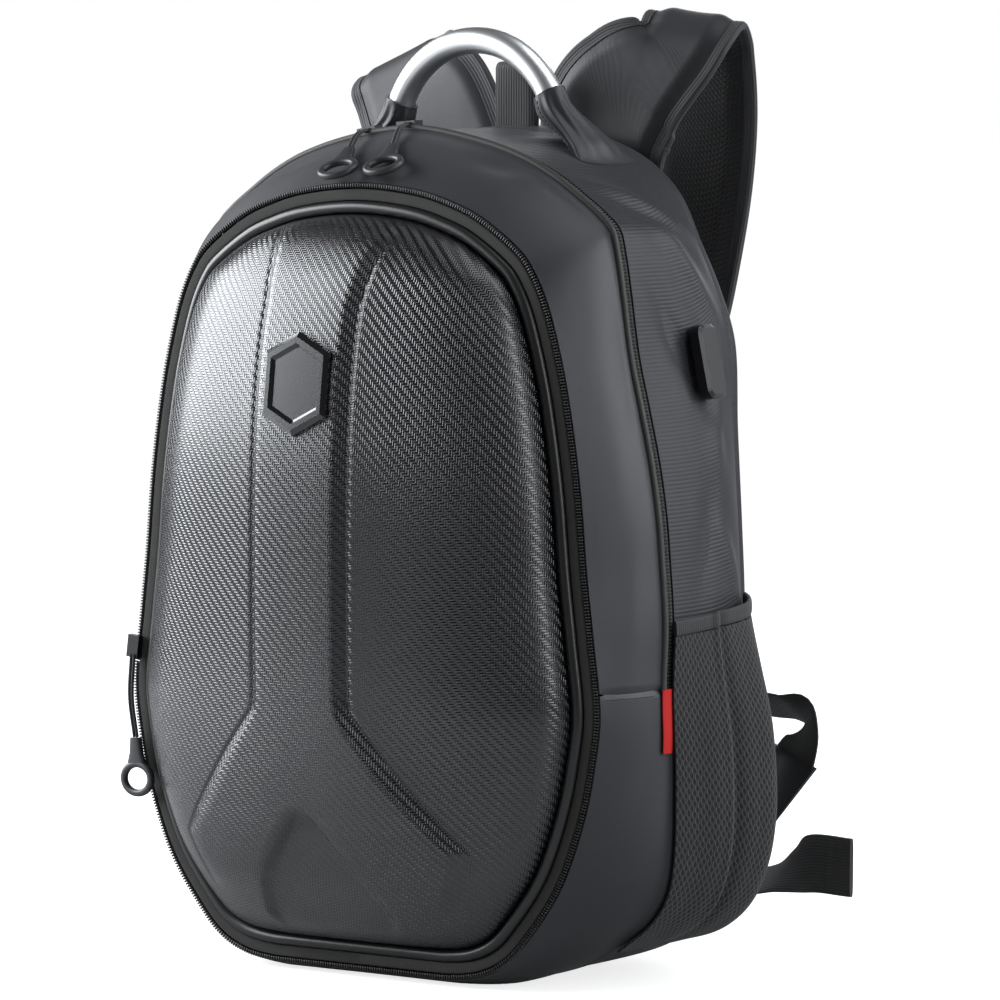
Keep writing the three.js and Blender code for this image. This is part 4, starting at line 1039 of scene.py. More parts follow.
@dataclass
class FrontShell:
    """Moulded dome with its raised centre, creases and sunk wedge.

    Args:
        levels: rows from base to top.
        counts: columns between neighbouring lines of a half, from the middle outwards.
        evenness: share of even spacing in the rows, the rest lying closer at base and top.
        crease_limit: widest place of a crease as a share of the half width.
        wedge_limit: widest place of the wedge's edge as a share of the crease's.
        side_curve: powers of the dome's section across.
        end_curve: powers of the dome's section up.
        rim_power: how late the relief ends towards the rim.
    """

    levels: int = 215
    counts: tuple[int, ...] = (12, 6, 8, 12, 5, 20, 22, 16, 12)
    evenness: float = 0.35
    crease_limit: float = 0.74
    wedge_limit: float = 0.6
    side_curve: tuple[float, float] = (2.4, 0.55)
    end_curve: tuple[float, float] = (3, 0.45)
    rim_power: float = 14

    def rows(self) -> tuple[float, float, Array, Array]:
        """Levels of the rows and the shell's half width at each, inside piping and zip.

        Returns:
            Lowest and highest level, the levels, and the half widths in mm.
        """
        inset = 2 * PIPING_RADIUS + TEETH_WIDTH + TAPE_WIDTH + 3 * GAP
        half = RIM.at(np.linspace(0, TOP_STEP, 900))
        whole = np.concatenate([half, half[-2:0:-1] * [-1, 1]])
        edge = half + outward(whole)[: len(half)] * -inset
        low, high = edge[0, 1], edge[-1, 1]
        rising = edge[:, 1] > low + 0.3
        edge_z = np.concatenate([[low], np.maximum.accumulate(edge[rising, 1])])
        edge_x = np.concatenate([[edge[rising, 0][0]], edge[rising, 0]])
        even = np.linspace(0, 1, self.levels)
        turned = (1 - self.evenness) * (1 - np.cos(np.linspace(0, np.pi, self.levels))) / 2
        z = low + (high - low) * (self.evenness * even + turned)
        return low, high, z, np.maximum(np.interp(z, edge_z, edge_x), 0.2)

    def lines(self, z: Array, width: Array) -> list[tuple[Array, Array]]:
        """Lines of a half from the middle outwards: wedge, crease, groove, flank and rim.

        Args:
            z: levels in mm.
            width: half widths in mm.
        Returns:
            Place across and relief of each line, in mm, one for each level.
        """
        share = (z - RIM_LIFT) / RIM_HEIGHT
        crease = np.interp(share, *CREASE_ROWS.T) * CENTRE_HALF_WIDTH
        crease = np.minimum(crease, self.crease_limit * width)
        bevel = np.minimum(BEVEL_WIDTH, 0.2 * crease) / 2
        vee = np.minimum(np.interp(share, *VEE_ROWS.T) * CENTRE_HALF_WIDTH, self.wedge_limit * crease)
        vee_bevel = np.minimum(VEE_BEVEL, 0.4 * vee) / 2
        fade = between(share, (0.08, 0.14), (0.93, 0.98))
        top = CENTRE_RAISE * fade
        sunk = top - VEE_SINK * between(share, (0.03, 0.08), (0.19, 0.22))
        rest = width - crease - bevel
        outer = crease + bevel
        return [
            (0 * z, sunk), (vee - vee_bevel, sunk), (vee + vee_bevel, top), (crease - bevel, top),
            (outer, -GROOVE_DEPTH * fade), (outer + GROOVE_WIDTH, 0 * z),
            *((outer + flank * rest, 0 * z) for flank in (0.45, 0.8, 0.96)), (width, 0 * z),
        ]

    def columns(self, z: Array, width: Array) -> tuple[Array, Array]:
        """Columns shared out evenly between the lines, and mirrored to the other half.

        Args:
            z: levels in mm.
            width: half widths in mm.
        Returns:
            Places across and relief in mm, each (levels, columns).
        """
        lines = self.lines(z, width)
        x_parts, relief_parts = [], []
        for (x0, r0), (x1, r1), count in zip(lines[:-1], lines[1:], self.counts):
            s = np.linspace(0, 1, count, endpoint=False)[None]
            x_parts.append(x0[:, None] * (1 - s) + x1[:, None] * s)
            relief_parts.append(r0[:, None] + (r1 - r0)[:, None] * s)
        x = np.concatenate([*x_parts, width[:, None]], 1)
        relief = np.concatenate([*relief_parts, 0 * width[:, None]], 1)
        x = np.concatenate([-x[:, :0:-1], x], 1)
        return x, np.concatenate([relief[:, :0:-1], relief], 1)

    def build(self) -> None:
        """Wall over y = rim - depth * (1 - side^a)^b * (1 - end^c)^d - relief."""
        low, high, z, width = self.rows()
        x, relief = self.columns(z, width)
        side = np.clip(np.abs(x) / width[:, None], 0, 1)
        end = np.clip(np.abs(z - (low + high) / 2) / ((high - low) / 2), 0, 1)[:, None]
        across = (1 - side ** self.side_curve[0]) ** self.side_curve[1]
        depth = SHELL_DEPTH * across * (1 - end ** self.end_curve[0]) ** self.end_curve[1]
        rim = (1 - side**self.rim_power) * (1 - end**self.rim_power)
        grid = np.stack([x, RIM_Y - depth - relief * rim, np.broadcast_to(z[:, None], x.shape)], -1)
        flat = lengths(grid.swapaxes(0, 1)).swapaxes(0, 1)
        middle = x.shape[1] // 2
        up = np.broadcast_to(lengths(grid[:, middle])[:, None], x.shape)
        uv = np.stack([flat - flat[:, middle : middle + 1], up], -1) * MM
        back = grid + [0, SHELL_WALL, 0]
        both = np.stack([grid, back])
        edges = [
            sheet(both[:, row].swapaxes(0, 1), (0, 0, facing)) for row, facing in ((0, -1), (-1, 1))
        ] + [
            sheet(both[:, :, column].swapaxes(0, 1), (facing, 0, 0))
            for column, facing in ((0, -1), (-1, 1))
        ]
        moulding = join(sheet(grid, (0, -1, 0), uv), sheet(back, (0, 1, 0), uv), *edges)
        piece("shell_moulding", moulding, SHELL, "front_shell", crease=80)


@dataclass
class ShellRim:
    """Piping, tape and coil teeth round the shell's rim.

    Args:
        stations: steps round the outline.
        tape_half: half thickness of the tape in mm.
        tape_back: how far the tape lies behind the rim plane in mm.
        pitch: distance between coils in mm.
        coil: half length, half width and half height of a coil in mm.
    """

    stations: int = 640
    tape_half: float = 0.9
    tape_back: float = 0.5
    pitch: float = 1.7
    coil: Triple = (1.5, 0.6, 0.8)

    def band(self, inset: float, y: float, section: Array) -> Solid:
        """A section swept round the rim's outline.

        Args:
            inset: middle of the section inside the outline in mm.
            y: its place in depth in mm.
            section: (sides, 2) points outwards and forwards.
        Returns:
            The closed band.
        """
        points = RIM.at(around(self.stations))
        out = outward(points)
        loops = points[:, None] + out[:, None] * (section[:, 0] - inset)[None, :, None]
        return loft(lifted(loops, y - section[:, 1][None]), ring=True)

    def build(self) -> None:
        """Piping of round section, a flat tape and one coil for each pitch of the teeth strip."""
        tape_inset = TEETH_WIDTH + GAP + TAPE_WIDTH / 2
        piping_inset = TEETH_WIDTH + 2 * GAP + TAPE_WIDTH + PIPING_RADIUS
        round_section = rounded_section(PIPING_RADIUS, PIPING_RADIUS, 20, 2)
        piece("rim_piping", self.band(piping_inset, RIM_Y, round_section), PIPING, "shell_piping")
        flat = rounded_section(TAPE_WIDTH / 2, self.tape_half, 16, 3)
        tape = self.band(tape_inset, RIM_Y + self.tape_back, flat)
        piece("rim_tape", tape, TAPE, "shell_zip_tape")
        path = RIM.at(around(self.stations + 1, 0, ALL_STEPS - 1e-6))
        path = path - outward(path) * TEETH_WIDTH / 2
        out = np.tile([0.0, -1.0, 0.0], (len(path), 1))
        coils = beads_along(lifted(path, RIM_Y), out, self.pitch, self.coil, across=True)
        piece("rim_teeth", coils, TEETH, "shell_zip_teeth")


# The body

# Folds of the cloth: centre, direction, half length, half width, height
GUSSET_FOLDS = (
    Fold((66, -55, 462), (1, 0.35, -0.5), 34, 9, -2.6),
    Fold((92, -50, 450), (1, 0.2, -0.9), 26, 8, 1.8),
    Fold((30, -52, 474), (1, -0.2, 0.0), 30, 9, 1.3),
    Fold((-70, -55, 460), (1, -0.2, 0.5), 30, 9, -2.0),
    Fold((172, -60, 240), (0, 0.12, 1), 60, 9, 1.6),
    Fold((168, -50, 300), (0, 0.2, 1), 70, 10, -1.4),
    Fold((176, -55, 110), (0, 0.5, 1), 34, 12, -1.6),
    Fold((-172, -58, 250), (0, 0.1, 1), 60, 9, 1.6),
    Fold((-176, -55, 110), (0, 0.5, 1), 34, 12, -1.6),
)
WALL_FOLDS = (
    Fold((118, 10, 440), (0.3, 1, -0.55), 40, 8, 3.8),
    Fold((126, 22, 424), (0.3, 1, -0.7), 42, 8, -3.5),
    Fold((140, 36, 400), (0.1, 0.8, -1), 42, 9, 3.5),
    Fold((150, 20, 350), (0.1, 0.6, -1), 44, 9, -3.2),
    Fold((158, 36, 300), (0, 0.5, 1), 44, 10, 2.6),
    Fold((166, 14, 250), (0, 0.35, 1), 46, 9, -2.9),
    Fold((166, 40, 232), (0, -0.5, 1), 30, 9, 2.9),
    Fold((-120, 14, 440), (-0.3, 1, -0.6), 40, 8, 3.5),
    Fold((-150, 30, 350), (0.1, 0.6, -1), 44, 9, -3.2),
    Fold((-164, 20, 260), (0, 0.4, 1), 46, 9, -2.6),
    Fold((60, 30, 476), (0.4, 1, 0), 34, 9, 2.6),
    Fold((-50, 36, 478), (-0.5, 1, 0), 34, 9, 2.3),
    Fold((20, 50, 478), (1, 0.3, 0), 30, 8, -2.0),
)


@dataclass
class Gussets:
    """The two stretches of cloth between the shell's rim and the main zip.

    Args:
        rows: steps from rim to zip.
        behind_rim: how far the cloth starts behind the rim plane in mm.
        roll: height of the rolled rear edge in mm.
        roll_width: half width of that roll in mm.
        unevenness: height of the soft unevenness in mm.
        joint: gap at the cross seam as a share of a step.
        seam_pitch: distance between stitches of the cross seam in mm.
        seam_drop: how far they lie under the seam in mm.
        welt_radius: radius of the welt beside the main zip in mm.
    """

    rows: int = 34
    behind_rim: float = 1.9
    roll: float = 0.9
    roll_width: float = 2.2
    unevenness: float = 0.5
    joint: float = 0.04
    seam_pitch: float = 3.4
    seam_drop: float = 3.2
    welt_radius: float = 2.1

    def surface(self, steps: Array, rear: float) -> Array:
        """rim + s (zip - rim) + bulge sin(pi s) outwards, with folds and a rolled rear edge.

        Args:
            steps: places along the outlines.
            rear: Y of the rear edge in mm.
        Returns:
            (steps, rows, 3) points in mm.
        """
        share = np.linspace(0, 1, self.rows)
        near, far = (1 - share)[None, :, None], share[None, :, None]
        rim, zipped = RIM.at(steps), ZIP.at(steps)
        front = RIM_Y + self.behind_rim
        plain = rim[:, None] * near + zipped[:, None] * far
        out = unit(outward(rim)[:, None] * near + outward(zipped)[:, None] * far)
        y = np.broadcast_to(front + (rear - front) * share, plain.shape[:2])
        bulge = GUSSET_BULGE * np.sin(np.pi * share)[None]
        roll = self.roll * np.exp(-(((rear - 2 - y) / self.roll_width) ** 2))
        points = lifted(plain, y)
        soft = fold_relief(points, GUSSET_FOLDS) + self.unevenness * ripple(points, 95, 3)
        soft *= between(share, (0, 0.16), (0.86, 1))[None]
        return lifted(plain + out * (bulge + roll + soft)[..., None], y)

    def build(self) -> None:
        """Both stretches as walls, their cross seam's thread, and the welt beside the main zip."""
        front = ZIP_Y - MAIN_TAPE_WIDTH / 2
        start = LOWER_STEPS + self.joint
        upper = self.surface(around(440, start, ALL_STEPS - LOWER_STEPS - self.joint), front - GAP)
        wall = walled(upper, CLOTH, flip=self.flips(upper))
        piece("gusset_cloth_upper", wall, SATIN, "gusset_upper")
        low_steps = around(300, -LOWER_STEPS + self.joint, LOWER_STEPS - self.joint)
        lower = self.surface(low_steps, ZIP_Y + MAIN_TAPE_WIDTH / 2)
        lower[..., 2] = np.maximum(lower[..., 2], 0.1)
        wall = walled(lower, CLOTH, flip=self.flips(lower))
        piece("gusset_cloth_lower", wall, SATIN, "gusset_lower")
        for side, name in ((1, "right"), (-1, "left")):
            self.seam(side, name)
        line = ZIP.at(around(440, LOWER_STEPS, ALL_STEPS - LOWER_STEPS))
        normal = open_normals(line)
        path = lifted(line + normal * 0.9, front - 1.2)
        section = rounded_section(self.welt_radius, self.welt_radius, 14, 2)
        piece("zip_welt", swept(path, lifted(normal, 0.0), section), WELT)

    def seam(self, side: int, name: str) -> None:
        """Stitches under the cross seam on one side.

        Args:
            side: 1 for +X, -1 for -X.
            name: right or left.
        """
        steps = np.array([LOWER_STEPS * 1.0]) * side % ALL_STEPS
        near = np.concatenate([steps - 0.05, steps, steps + 0.05])
        seam = self.surface(near, ZIP_Y - MAIN_TAPE_WIDTH / 2)[1]
        path = evenly(seam + [side * 0.1, 0, 0], 1.0) + [0, 0, -self.seam_drop]
        out = np.tile([float(side), 0, 0], (len(path), 1))
        stitches = beads_along(path, out, self.seam_pitch, (1.3, 0.3, 0.28), across=False)
        piece(f"seam_thread_{name}", stitches, THREAD)

    @staticmethod
    def flips(grid: Array) -> bool:
        """Whether the lattice's own normals point inwards.

        Args:
            grid: (rows, columns, 3) points.
        Returns:
            True where they do.
        """
        middle = grid.reshape(-1, 3).mean(0)
        normal = normals_of(grid)
        return bool(((grid - middle) * normal).sum() < 0)


@dataclass
class MainZip:
    """Tape and coil teeth over the top from cross seam to cross seam.

    Args:
        tape_half: half thickness of the tape in mm.
        tape_inset: how far the tape's middle lies inside the outline in mm.
        row_offset: how far each row of coils lies from the tape's middle in mm.
        pitch: distance between coils in mm.
        coil: half length, half width and half height of a coil in mm.
    """

    tape_half: float = 0.7
    tape_inset: float = 1.4
    row_offset: float = 1.3
    pitch: float = 2.0
    coil: Triple = (1.45, 0.72, 0.95)

    def build(self) -> None:
        """A flat tape and two rows of coils on the main zip's outline."""
        line = ZIP.at(around(520, LOWER_STEPS, ALL_STEPS - LOWER_STEPS))
        normal = open_normals(line)
        wide = np.tile([0.0, 1.0, 0.0], (len(line), 1))
        path = lifted(line - normal * self.tape_inset, ZIP_Y)
        tape = swept(path, wide, rounded_section(MAIN_TAPE_WIDTH / 2, self.tape_half, 12, 4))
        piece("zip_tape", tape, TAPE, "main_zip_tape")
        out = lifted(normal, 0.0)
        rows = [
            beads_along(lifted(line - normal * 0.2, ZIP_Y + y), out, self.pitch, self.coil, across=True)
            for y in (-self.row_offset, self.row_offset)
        ]
        piece("zip_coils", join(*rows), TEETH, "main_zip_teeth")


@dataclass
class RearWall:
    """Side, roof and base cloth from the main zip to the rear seam.

    Args:
        stations: steps round the outline.
        rows: steps from zip to rear seam.
    """

    stations: int = 560
    rows: int = 40

    @staticmethod
    def start() -> float:
        """Y of the wall's front edge."""
        return ZIP_Y + MAIN_TAPE_WIDTH / 2 + GAP

    @classmethod
    def y_at(cls, share: Array) -> Array:
        """Y at a share of the way to the rear seam."""
        return cls.start() + (REAR_Y - cls.start()) * share

    @staticmethod
    def row(steps: Array, share: float) -> Array:
        """zip + (rear - zip) times s^3.5 across, s^1.2 up over the cross seam, late under it.

        Args:
            steps: places along the outlines.
            share: share of the way back, s.
        Returns:
            (n, 2) points across and up.
        """
        first, last = ZIP.at(steps), REAR.at(steps)
        base = max(0.0, (share - BASE_FLAT) / (1 - BASE_FLAT)) ** BASE_ROUNDING
        up = np.where(first[:, 1] > SEAM_HEIGHT, share**ROOF_ROUNDING, base)
        x = first[:, 0] + (last[:, 0] - first[:, 0]) * share**WALL_ROUNDING
        return np.column_stack([x, first[:, 1] + (last[:, 1] - first[:, 1]) * up])

    @classmethod
    def side(cls, share: float, z: Array) -> tuple[Array, Array]:
        """Right-hand points of the wall at heights, with outward directions.

        Args:
            share: share of the way back.
            z: heights in mm.
        Returns:
            (n, 2) points and (n, 2) directions, across and up.
        """
        points = cls.row(np.linspace(2, TOP_STEP, 400), share)
        rise = np.maximum.accumulate(points[:, 1]) + np.arange(400) * 1e-6
        x = np.interp(z, rise, points[:, 0])
        slope = np.interp(z, rise, np.gradient(points[:, 0], rise))
        return np.stack([x, z], -1), unit(np.stack([np.ones_like(slope), -slope], -1))

    @classmethod
    def roof(cls, x: Array, share: Array) -> Array:
        """Height of the roof: bilinear in a table of shares of the way back and places across.

        Args:
            x: places across in mm.
            share: shares of the way back.
        Returns:
            Heights in mm.
        """
        rows, columns, reach, dense = 24, 80, 150, 300
        places = np.linspace(0, reach, columns)
        table = []
        for s in np.linspace(0, 1, rows):
            points = cls.row(np.linspace(LOWER_STEPS, TOP_STEP, dense), float(s))[::-1]
            rising = np.maximum.accumulate(points[:, 0]) + np.arange(dense) * 1e-6
            table.append(np.interp(places, rising, points[:, 1]))
        table = np.array(table)
        a = np.clip(np.asarray(share) * (rows - 1), 0, rows - 1.001)
        b = np.clip(np.abs(x) / reach * (columns - 1), 0, columns - 1.001)
        i, j = a.astype(int), b.astype(int)
        p, q = a - i, b - j
        low = table[i, j] * (1 - q) + table[i, j + 1] * q
        high = table[i + 1, j] * (1 - q) + table[i + 1, j + 1] * q
        return low * (1 - p) + high * p

    def build(self) -> None:
        """Ring wall with folds that fade at both seams."""
        steps = around(self.stations)
        share = np.linspace(0, 1, self.rows) ** 0.8
        rows = np.stack([self.row(steps, float(s)) for s in share], 1)
        out = np.stack([outward(rows[:, k]) for k in range(self.rows)], 1)
        y = np.broadcast_to(self.y_at(share), rows.shape[:2])
        points = lifted(rows, y)
        soft = fold_relief(points, WALL_FOLDS) + 0.6 * ripple(points, 80, 7)
        soft *= between(share, (0, 0.14), (0.85, 1))[None]
        soft *= smoothstep(points[..., 2], 15, 60)
        grid = lifted(rows + out * soft[..., None], y)
        inner = lifted(rows - out * CLOTH, y)
        wall = loft(np.concatenate([grid, inner[:, ::-1]], 1), ring=True)
        piece("body_cloth", wall, RIBBED, "rear_wall")


@dataclass
class BackPanel:
    """Padded panel against the wearer's back, with channels between its pads.

    Args:
        middle: point that the rings close on, across and up, in mm.
        border: inset and rise of each ring of the rounded border in mm.
        fall: depth of the channels in mm.
        upright_half: half width of the upright channel in mm.
        cross_half: half width of the cross channels in mm.
        cross_heights: heights of the cross channels in mm.
        margin: where the pads' outer edge starts and ends across in mm.
    """

    middle: tuple[float, float] = (0.0, 235.0)
    border: tuple[tuple[float, float], ...] = (
        (0, 0), (0, 2), (0.3, 4), (1.2, 6.4), (3, 9), (6, 11), (10, PANEL_THICKNESS),
    )
    fall: float = 4.0
    upright_half: float = 13
    cross_half: float = 9
    cross_heights: tuple[float, float] = (235, 105)
    margin: tuple[float, float] = (118, 136)

    def build(self) -> None:
        """Rings from the rear outline inwards: y = panel + pad(x, z)."""
        outline = REAR.at(around(360))
        out = outward(outline)
        edge = outline + out * -GAP
        rings = [lifted(edge - out * inset, REAR_Y + GAP + rise) for inset, rise in self.border]
        inner = edge - out * self.border[-1][0]
        for share in np.linspace(0, 1, 64)[1:] ** 0.8:
            plane = inner + (np.array(self.middle) - inner) * min(share, 0.995)
            rings.append(lifted(plane, PANEL_Y + self.pad(plane)))
        made = piece("back_padding", loft(np.array(rings)), PAD, "back_panel")

    def pad(self, plane: Array) -> Array:
        """Fall of the surface in its channels: sums of exp(-(distance / half width)^2).

        Args:
            plane: (n, 2) points across and up in mm.
        Returns:
            (n,) heights in mm, 0 on the pads.
        """
        x, z = plane[:, 0], plane[:, 1]
        upright = np.exp(-((x / self.upright_half) ** 2)) * smoothstep(z, 60, 110)
        first, second = (np.exp(-(((z - at) / self.cross_half) ** 2)) for at in self.cross_heights)
        edge = smoothstep(np.abs(x), *self.margin)
        return -self.fall * np.clip(upright + (first + second) + 0.5 * edge, 0, 1)


@dataclass
class SidePocket:
    """Net pocket with its bound hem on one side.

    Args:
        side: 1 for +X, -1 for -X.
        suffix: right or left.
        base: height of the pocket's lower edge in mm.
        front_top: height of its upper edge at the zip in mm.
        rise: how much higher the upper edge ends at the rear seam in mm.
        margin: distance of both side edges from zip and rear seam in mm.
        seat: least distance from the wall in mm.
        fullness: how far the pocket bulges in mm.
        front_reach: how far the front edge laps over the zip in mm.
        net_half: height of the net's outer face over its seat in mm.
        net_wall: thickness of the net in mm.
        hem_half: half width and half thickness of the hem in mm.
        hem_top: upper edge of the hem as a share of the pocket's height.
    """

    side: int
    suffix: str
    base: float = 22
    front_top: float = 199
    rise: float = 8
    margin: float = 1.6
    seat: float = 1.9
    fullness: float = 26
    front_reach: float = 5.0
    net_half: float = 1.6
    net_wall: float = 1.4
    hem_half: tuple[float, float] = (4.25, 1.35)
    hem_top: float = 1.046

    def surface(self, depth_share: Array, rise_share: Array, lift: float) -> Array:
        """wall(s, z) + out * (seat + fullness * f(depth) * g(rise) + pleat + lift).

        Args:
            depth_share: shares of the way back.
            rise_share: shares of the way up.
            lift: further distance from the wall in mm.
        Returns:
            (rise, depth, 3) points in mm.
        """
        edge = self.margin / (REAR_Y - ZIP_Y)
        columns = []
        for d in depth_share:
            share = edge + (1 - 2 * edge) * d
            z = self.base + (self.front_top + self.rise * d - self.base) * rise_share
            point, out = RearWall.side(float(share), z)
            form = hermite(POCKET_DEPTH_ROWS, np.array([d]))[0] * hermite(POCKET_RISE_ROWS, rise_share)
            ridge = 2.2 * math.exp(-(((d - 0.3) / 0.03) ** 2))
            pleat = ridge - 1.4 * math.exp(-(((d - 0.36) / 0.03) ** 2))
            height = self.seat + self.fullness * form + pleat * smoothstep(rise_share, 0.02, 0.2) + lift
            forward = self.front_reach * (1 - float(smoothstep(np.array(d), 0, 0.25)))
            xz = point + out * height[:, None]
            columns.append(lifted(xz, float(RearWall.y_at(share)) - forward))
        return np.stack(columns, 1) * [self.side, 1, 1]

    def build(self) -> None:
        """Net as a wall, and the hem as a rounded band along its upper edge."""
        depth = np.linspace(0, 1, 90)
        grid = self.surface(depth, np.linspace(0, 0.998, 110), self.net_half)
        flip = bool((normals_of(grid)[..., 0] * self.side).mean() < 0)
        net = walled(grid, self.net_wall, flip=flip)
        piece(f"net_{self.suffix}", net, NET, f"pocket_net_{self.suffix}")
        low, high = (self.surface(depth, np.array([at]), 0.9)[0] for at in (1.0, self.hem_top))
        hem = swept((low + high) / 2, high - low, rounded_section(*self.hem_half, 20, 3.4))
        piece(f"hem_{self.suffix}", hem, HEM, f"pocket_hem_{self.suffix}")


# Handle, loop and straps


def handle_point(degrees: Array) -> Array:
    """Middle line of the tube: a circle of HANDLE_RADIUS in the plane of the handle.

    Args:
        degrees: (n,) angles from the top, positive towards +X.
    Returns:
        (n, 3) points in mm.
    """
    angle = np.radians(degrees)
    y = float(RearWall.y_at(HANDLE_SHARE))
    x = HANDLE_OFFSET + HANDLE_RADIUS * np.sin(angle)
    z = HANDLE_TOP - HANDLE_RADIUS + HANDLE_RADIUS * np.cos(angle)
    return np.stack([x, np.full_like(x, y), z], -1)


@dataclass
class CarryHandle:
    """Metal tube in two cloth sleeves.

    Args:
        ends: angles at which the tube ends in degrees.
        starts: side, name and starting angle of each sleeve.
        wall: how far a sleeve stands off the tube in mm.
        foot_place: place across of a sleeve's foot in mm.
        foot_back: how far the foot lies behind the tube in mm.
        middle_half: half depth and half width of a sleeve at its middle in mm.
        foot_half: the same at its foot.
        pleats: number of lengthwise pleats.
        pleat_height: their height as a share of the radius.
        lining: size of the inner face as a share of the outer.
    """

    ends: tuple[float, float] = (-73, 68)
    starts: tuple[tuple[int, str, float], ...] = ((1, "right", 61.0), (-1, "left", 66.0))
    wall: float = 1.9
    foot_place: float = 84.0
    foot_back: float = 14
    middle_half: tuple[float, float] = (17, 6.6)
    foot_half: tuple[float, float] = (26, 6)
    pleats: int = 9
    pleat_height: float = 0.07
    lining: float = 0.86

    def build(self) -> None:
        """A swept circle, and sleeves that open from it to a long flat foot on the roof."""
        path = handle_point(np.linspace(*self.ends, 90))
        wide = np.tile([0.0, 1.0, 0.0], (len(path), 1))
        tube = swept(path, wide, rounded_section(HANDLE_TUBE / 2, HANDLE_TUBE / 2, 36, 2))
        piece("grip_tube", tube, METAL, "handle_tube")
        for side, suffix, start in self.starts:
            self.sleeve(side, suffix, start)

    def keys(self, side: int, start: float) -> Array:
        """Key sections of a sleeve: centre, half depth, half width, direction of its width.

        Args:
            side: 1 for +X, -1 for -X.
            start: angle on the tube in degrees.
        Returns:
            (4, 8) rows in mm.
        """
        y = float(RearWall.y_at(HANDLE_SHARE))
        top = handle_point(np.array([side * start]))[0]
        end = handle_point(np.array([side * (start + 10)]))[0]
        foot = np.array([side * self.foot_place, y + self.foot_back, 0])
        back = np.array([HANDLE_SHARE + self.foot_back / (REAR_Y - ZIP_Y)])
        foot[2] = float(RearWall.roof(np.array([self.foot_place]), back)[0])
        angle = math.radians(side * start)
        lean = (math.sin(angle), 0, math.cos(angle))
        radius = HANDLE_TUBE / 2 + self.wall
        return np.array([
            (*top, radius, radius, *lean), (*end, radius * 1.08, radius, *lean),
            (*((end + foot) / 2), *self.middle_half, *lean), (*foot, *self.foot_half, side, 0, 0),
        ])

    def sleeve(self, side: int, suffix: str, start: float) -> None:
        """Ellipses from the tube to the foot, with small lengthwise pleats, settled on the roof.

        Args:
            side: 1 for +X, -1 for -X.
            suffix: right or left.
            start: angle on the tube in degrees.
        """
        rows = spline(self.keys(side, start), 16)
        turn = 2 * np.pi * (np.arange(64) + 0.5) / 64
        along = np.linspace(0, 1, len(rows))
        gather = (np.sin(np.pi * along) ** 0.7)[:, None]
        pleat = 1 + self.pleat_height * np.sin(self.pleats * turn)[None] * gather
        across = unit(rows[:, 5:8])
        loops = rows[:, None, :3] + across[:, None] * (rows[:, 4:5] * np.cos(turn) * pleat)[..., None]
        loops[..., 1] += rows[:, 3:4] * np.sin(turn) * pleat
        share = (loops[..., 1] - RearWall.start()) / (REAR_Y - RearWall.start())
        roof = RearWall.roof(loops[..., 0], np.clip(share, 0, 1)) + 0.4
        settle = smoothstep(along, 0.8, 1)[:, None]
        loops[..., 2] = np.maximum(loops[..., 2], roof) * (1 - settle) + roof * settle
        centre = loops.mean(1, keepdims=True)
        inner = centre + (loops - centre) * self.lining
        both = np.concatenate([loops, inner[::-1]])
        piece(f"sleeve_{suffix}", loft(both, ring=True), SATIN, f"handle_sleeve_{suffix}")
        line = loops[4:-6, 44]
        out = unit(line - centre[4:-6, 0])
        stitches = beads_along(line + out * 0.2, out, 3.0, (1.1, 0.3, 0.3), across=False)
        piece(f"sleeve_thread_{suffix}", stitches, THREAD)


@dataclass
class HangLoop:
    """Webbing loop sewn in behind the handle.

    Args:
        share: its place as a share of the way back over the roof.
        bend: radius of the half turn in mm.
        height: height over its foot in mm.
        half: half width and half thickness of the webbing in mm.
    """

    share: float = 0.9
    bend: float = 4.0
    height: float = 37.0
    half: tuple[float, float] = (12.5, 0.8)

    def build(self) -> None:
        """Band up, round a half turn and down again."""
        y = float(RearWall.y_at(self.share))
        foot = float(RearWall.roof(np.array([0.0]), np.array([self.share]))[0]) - 0.5
        turn = foot + self.height - self.bend
        angle = np.linspace(0, np.pi, 20)
        arc = [0 * angle, y - self.bend * np.cos(angle), turn + self.bend * np.sin(angle)]
        rise = np.linspace(foot, turn, 24, endpoint=False)
        front = np.stack([0 * rise, np.full_like(rise, y - self.bend), rise], -1)
        back = front[::-1] * [1, 0, 1] + [0, y + self.bend, 0]
        path = np.concatenate([front, np.stack(arc, -1), back])
        wide = np.tile([1.0, 0.0, 0.0], (len(path), 1))
        band = swept(path, wide, rounded_section(*self.half, 20, 4))
        piece("loop_band", band, WEBBING, "hang_loop")


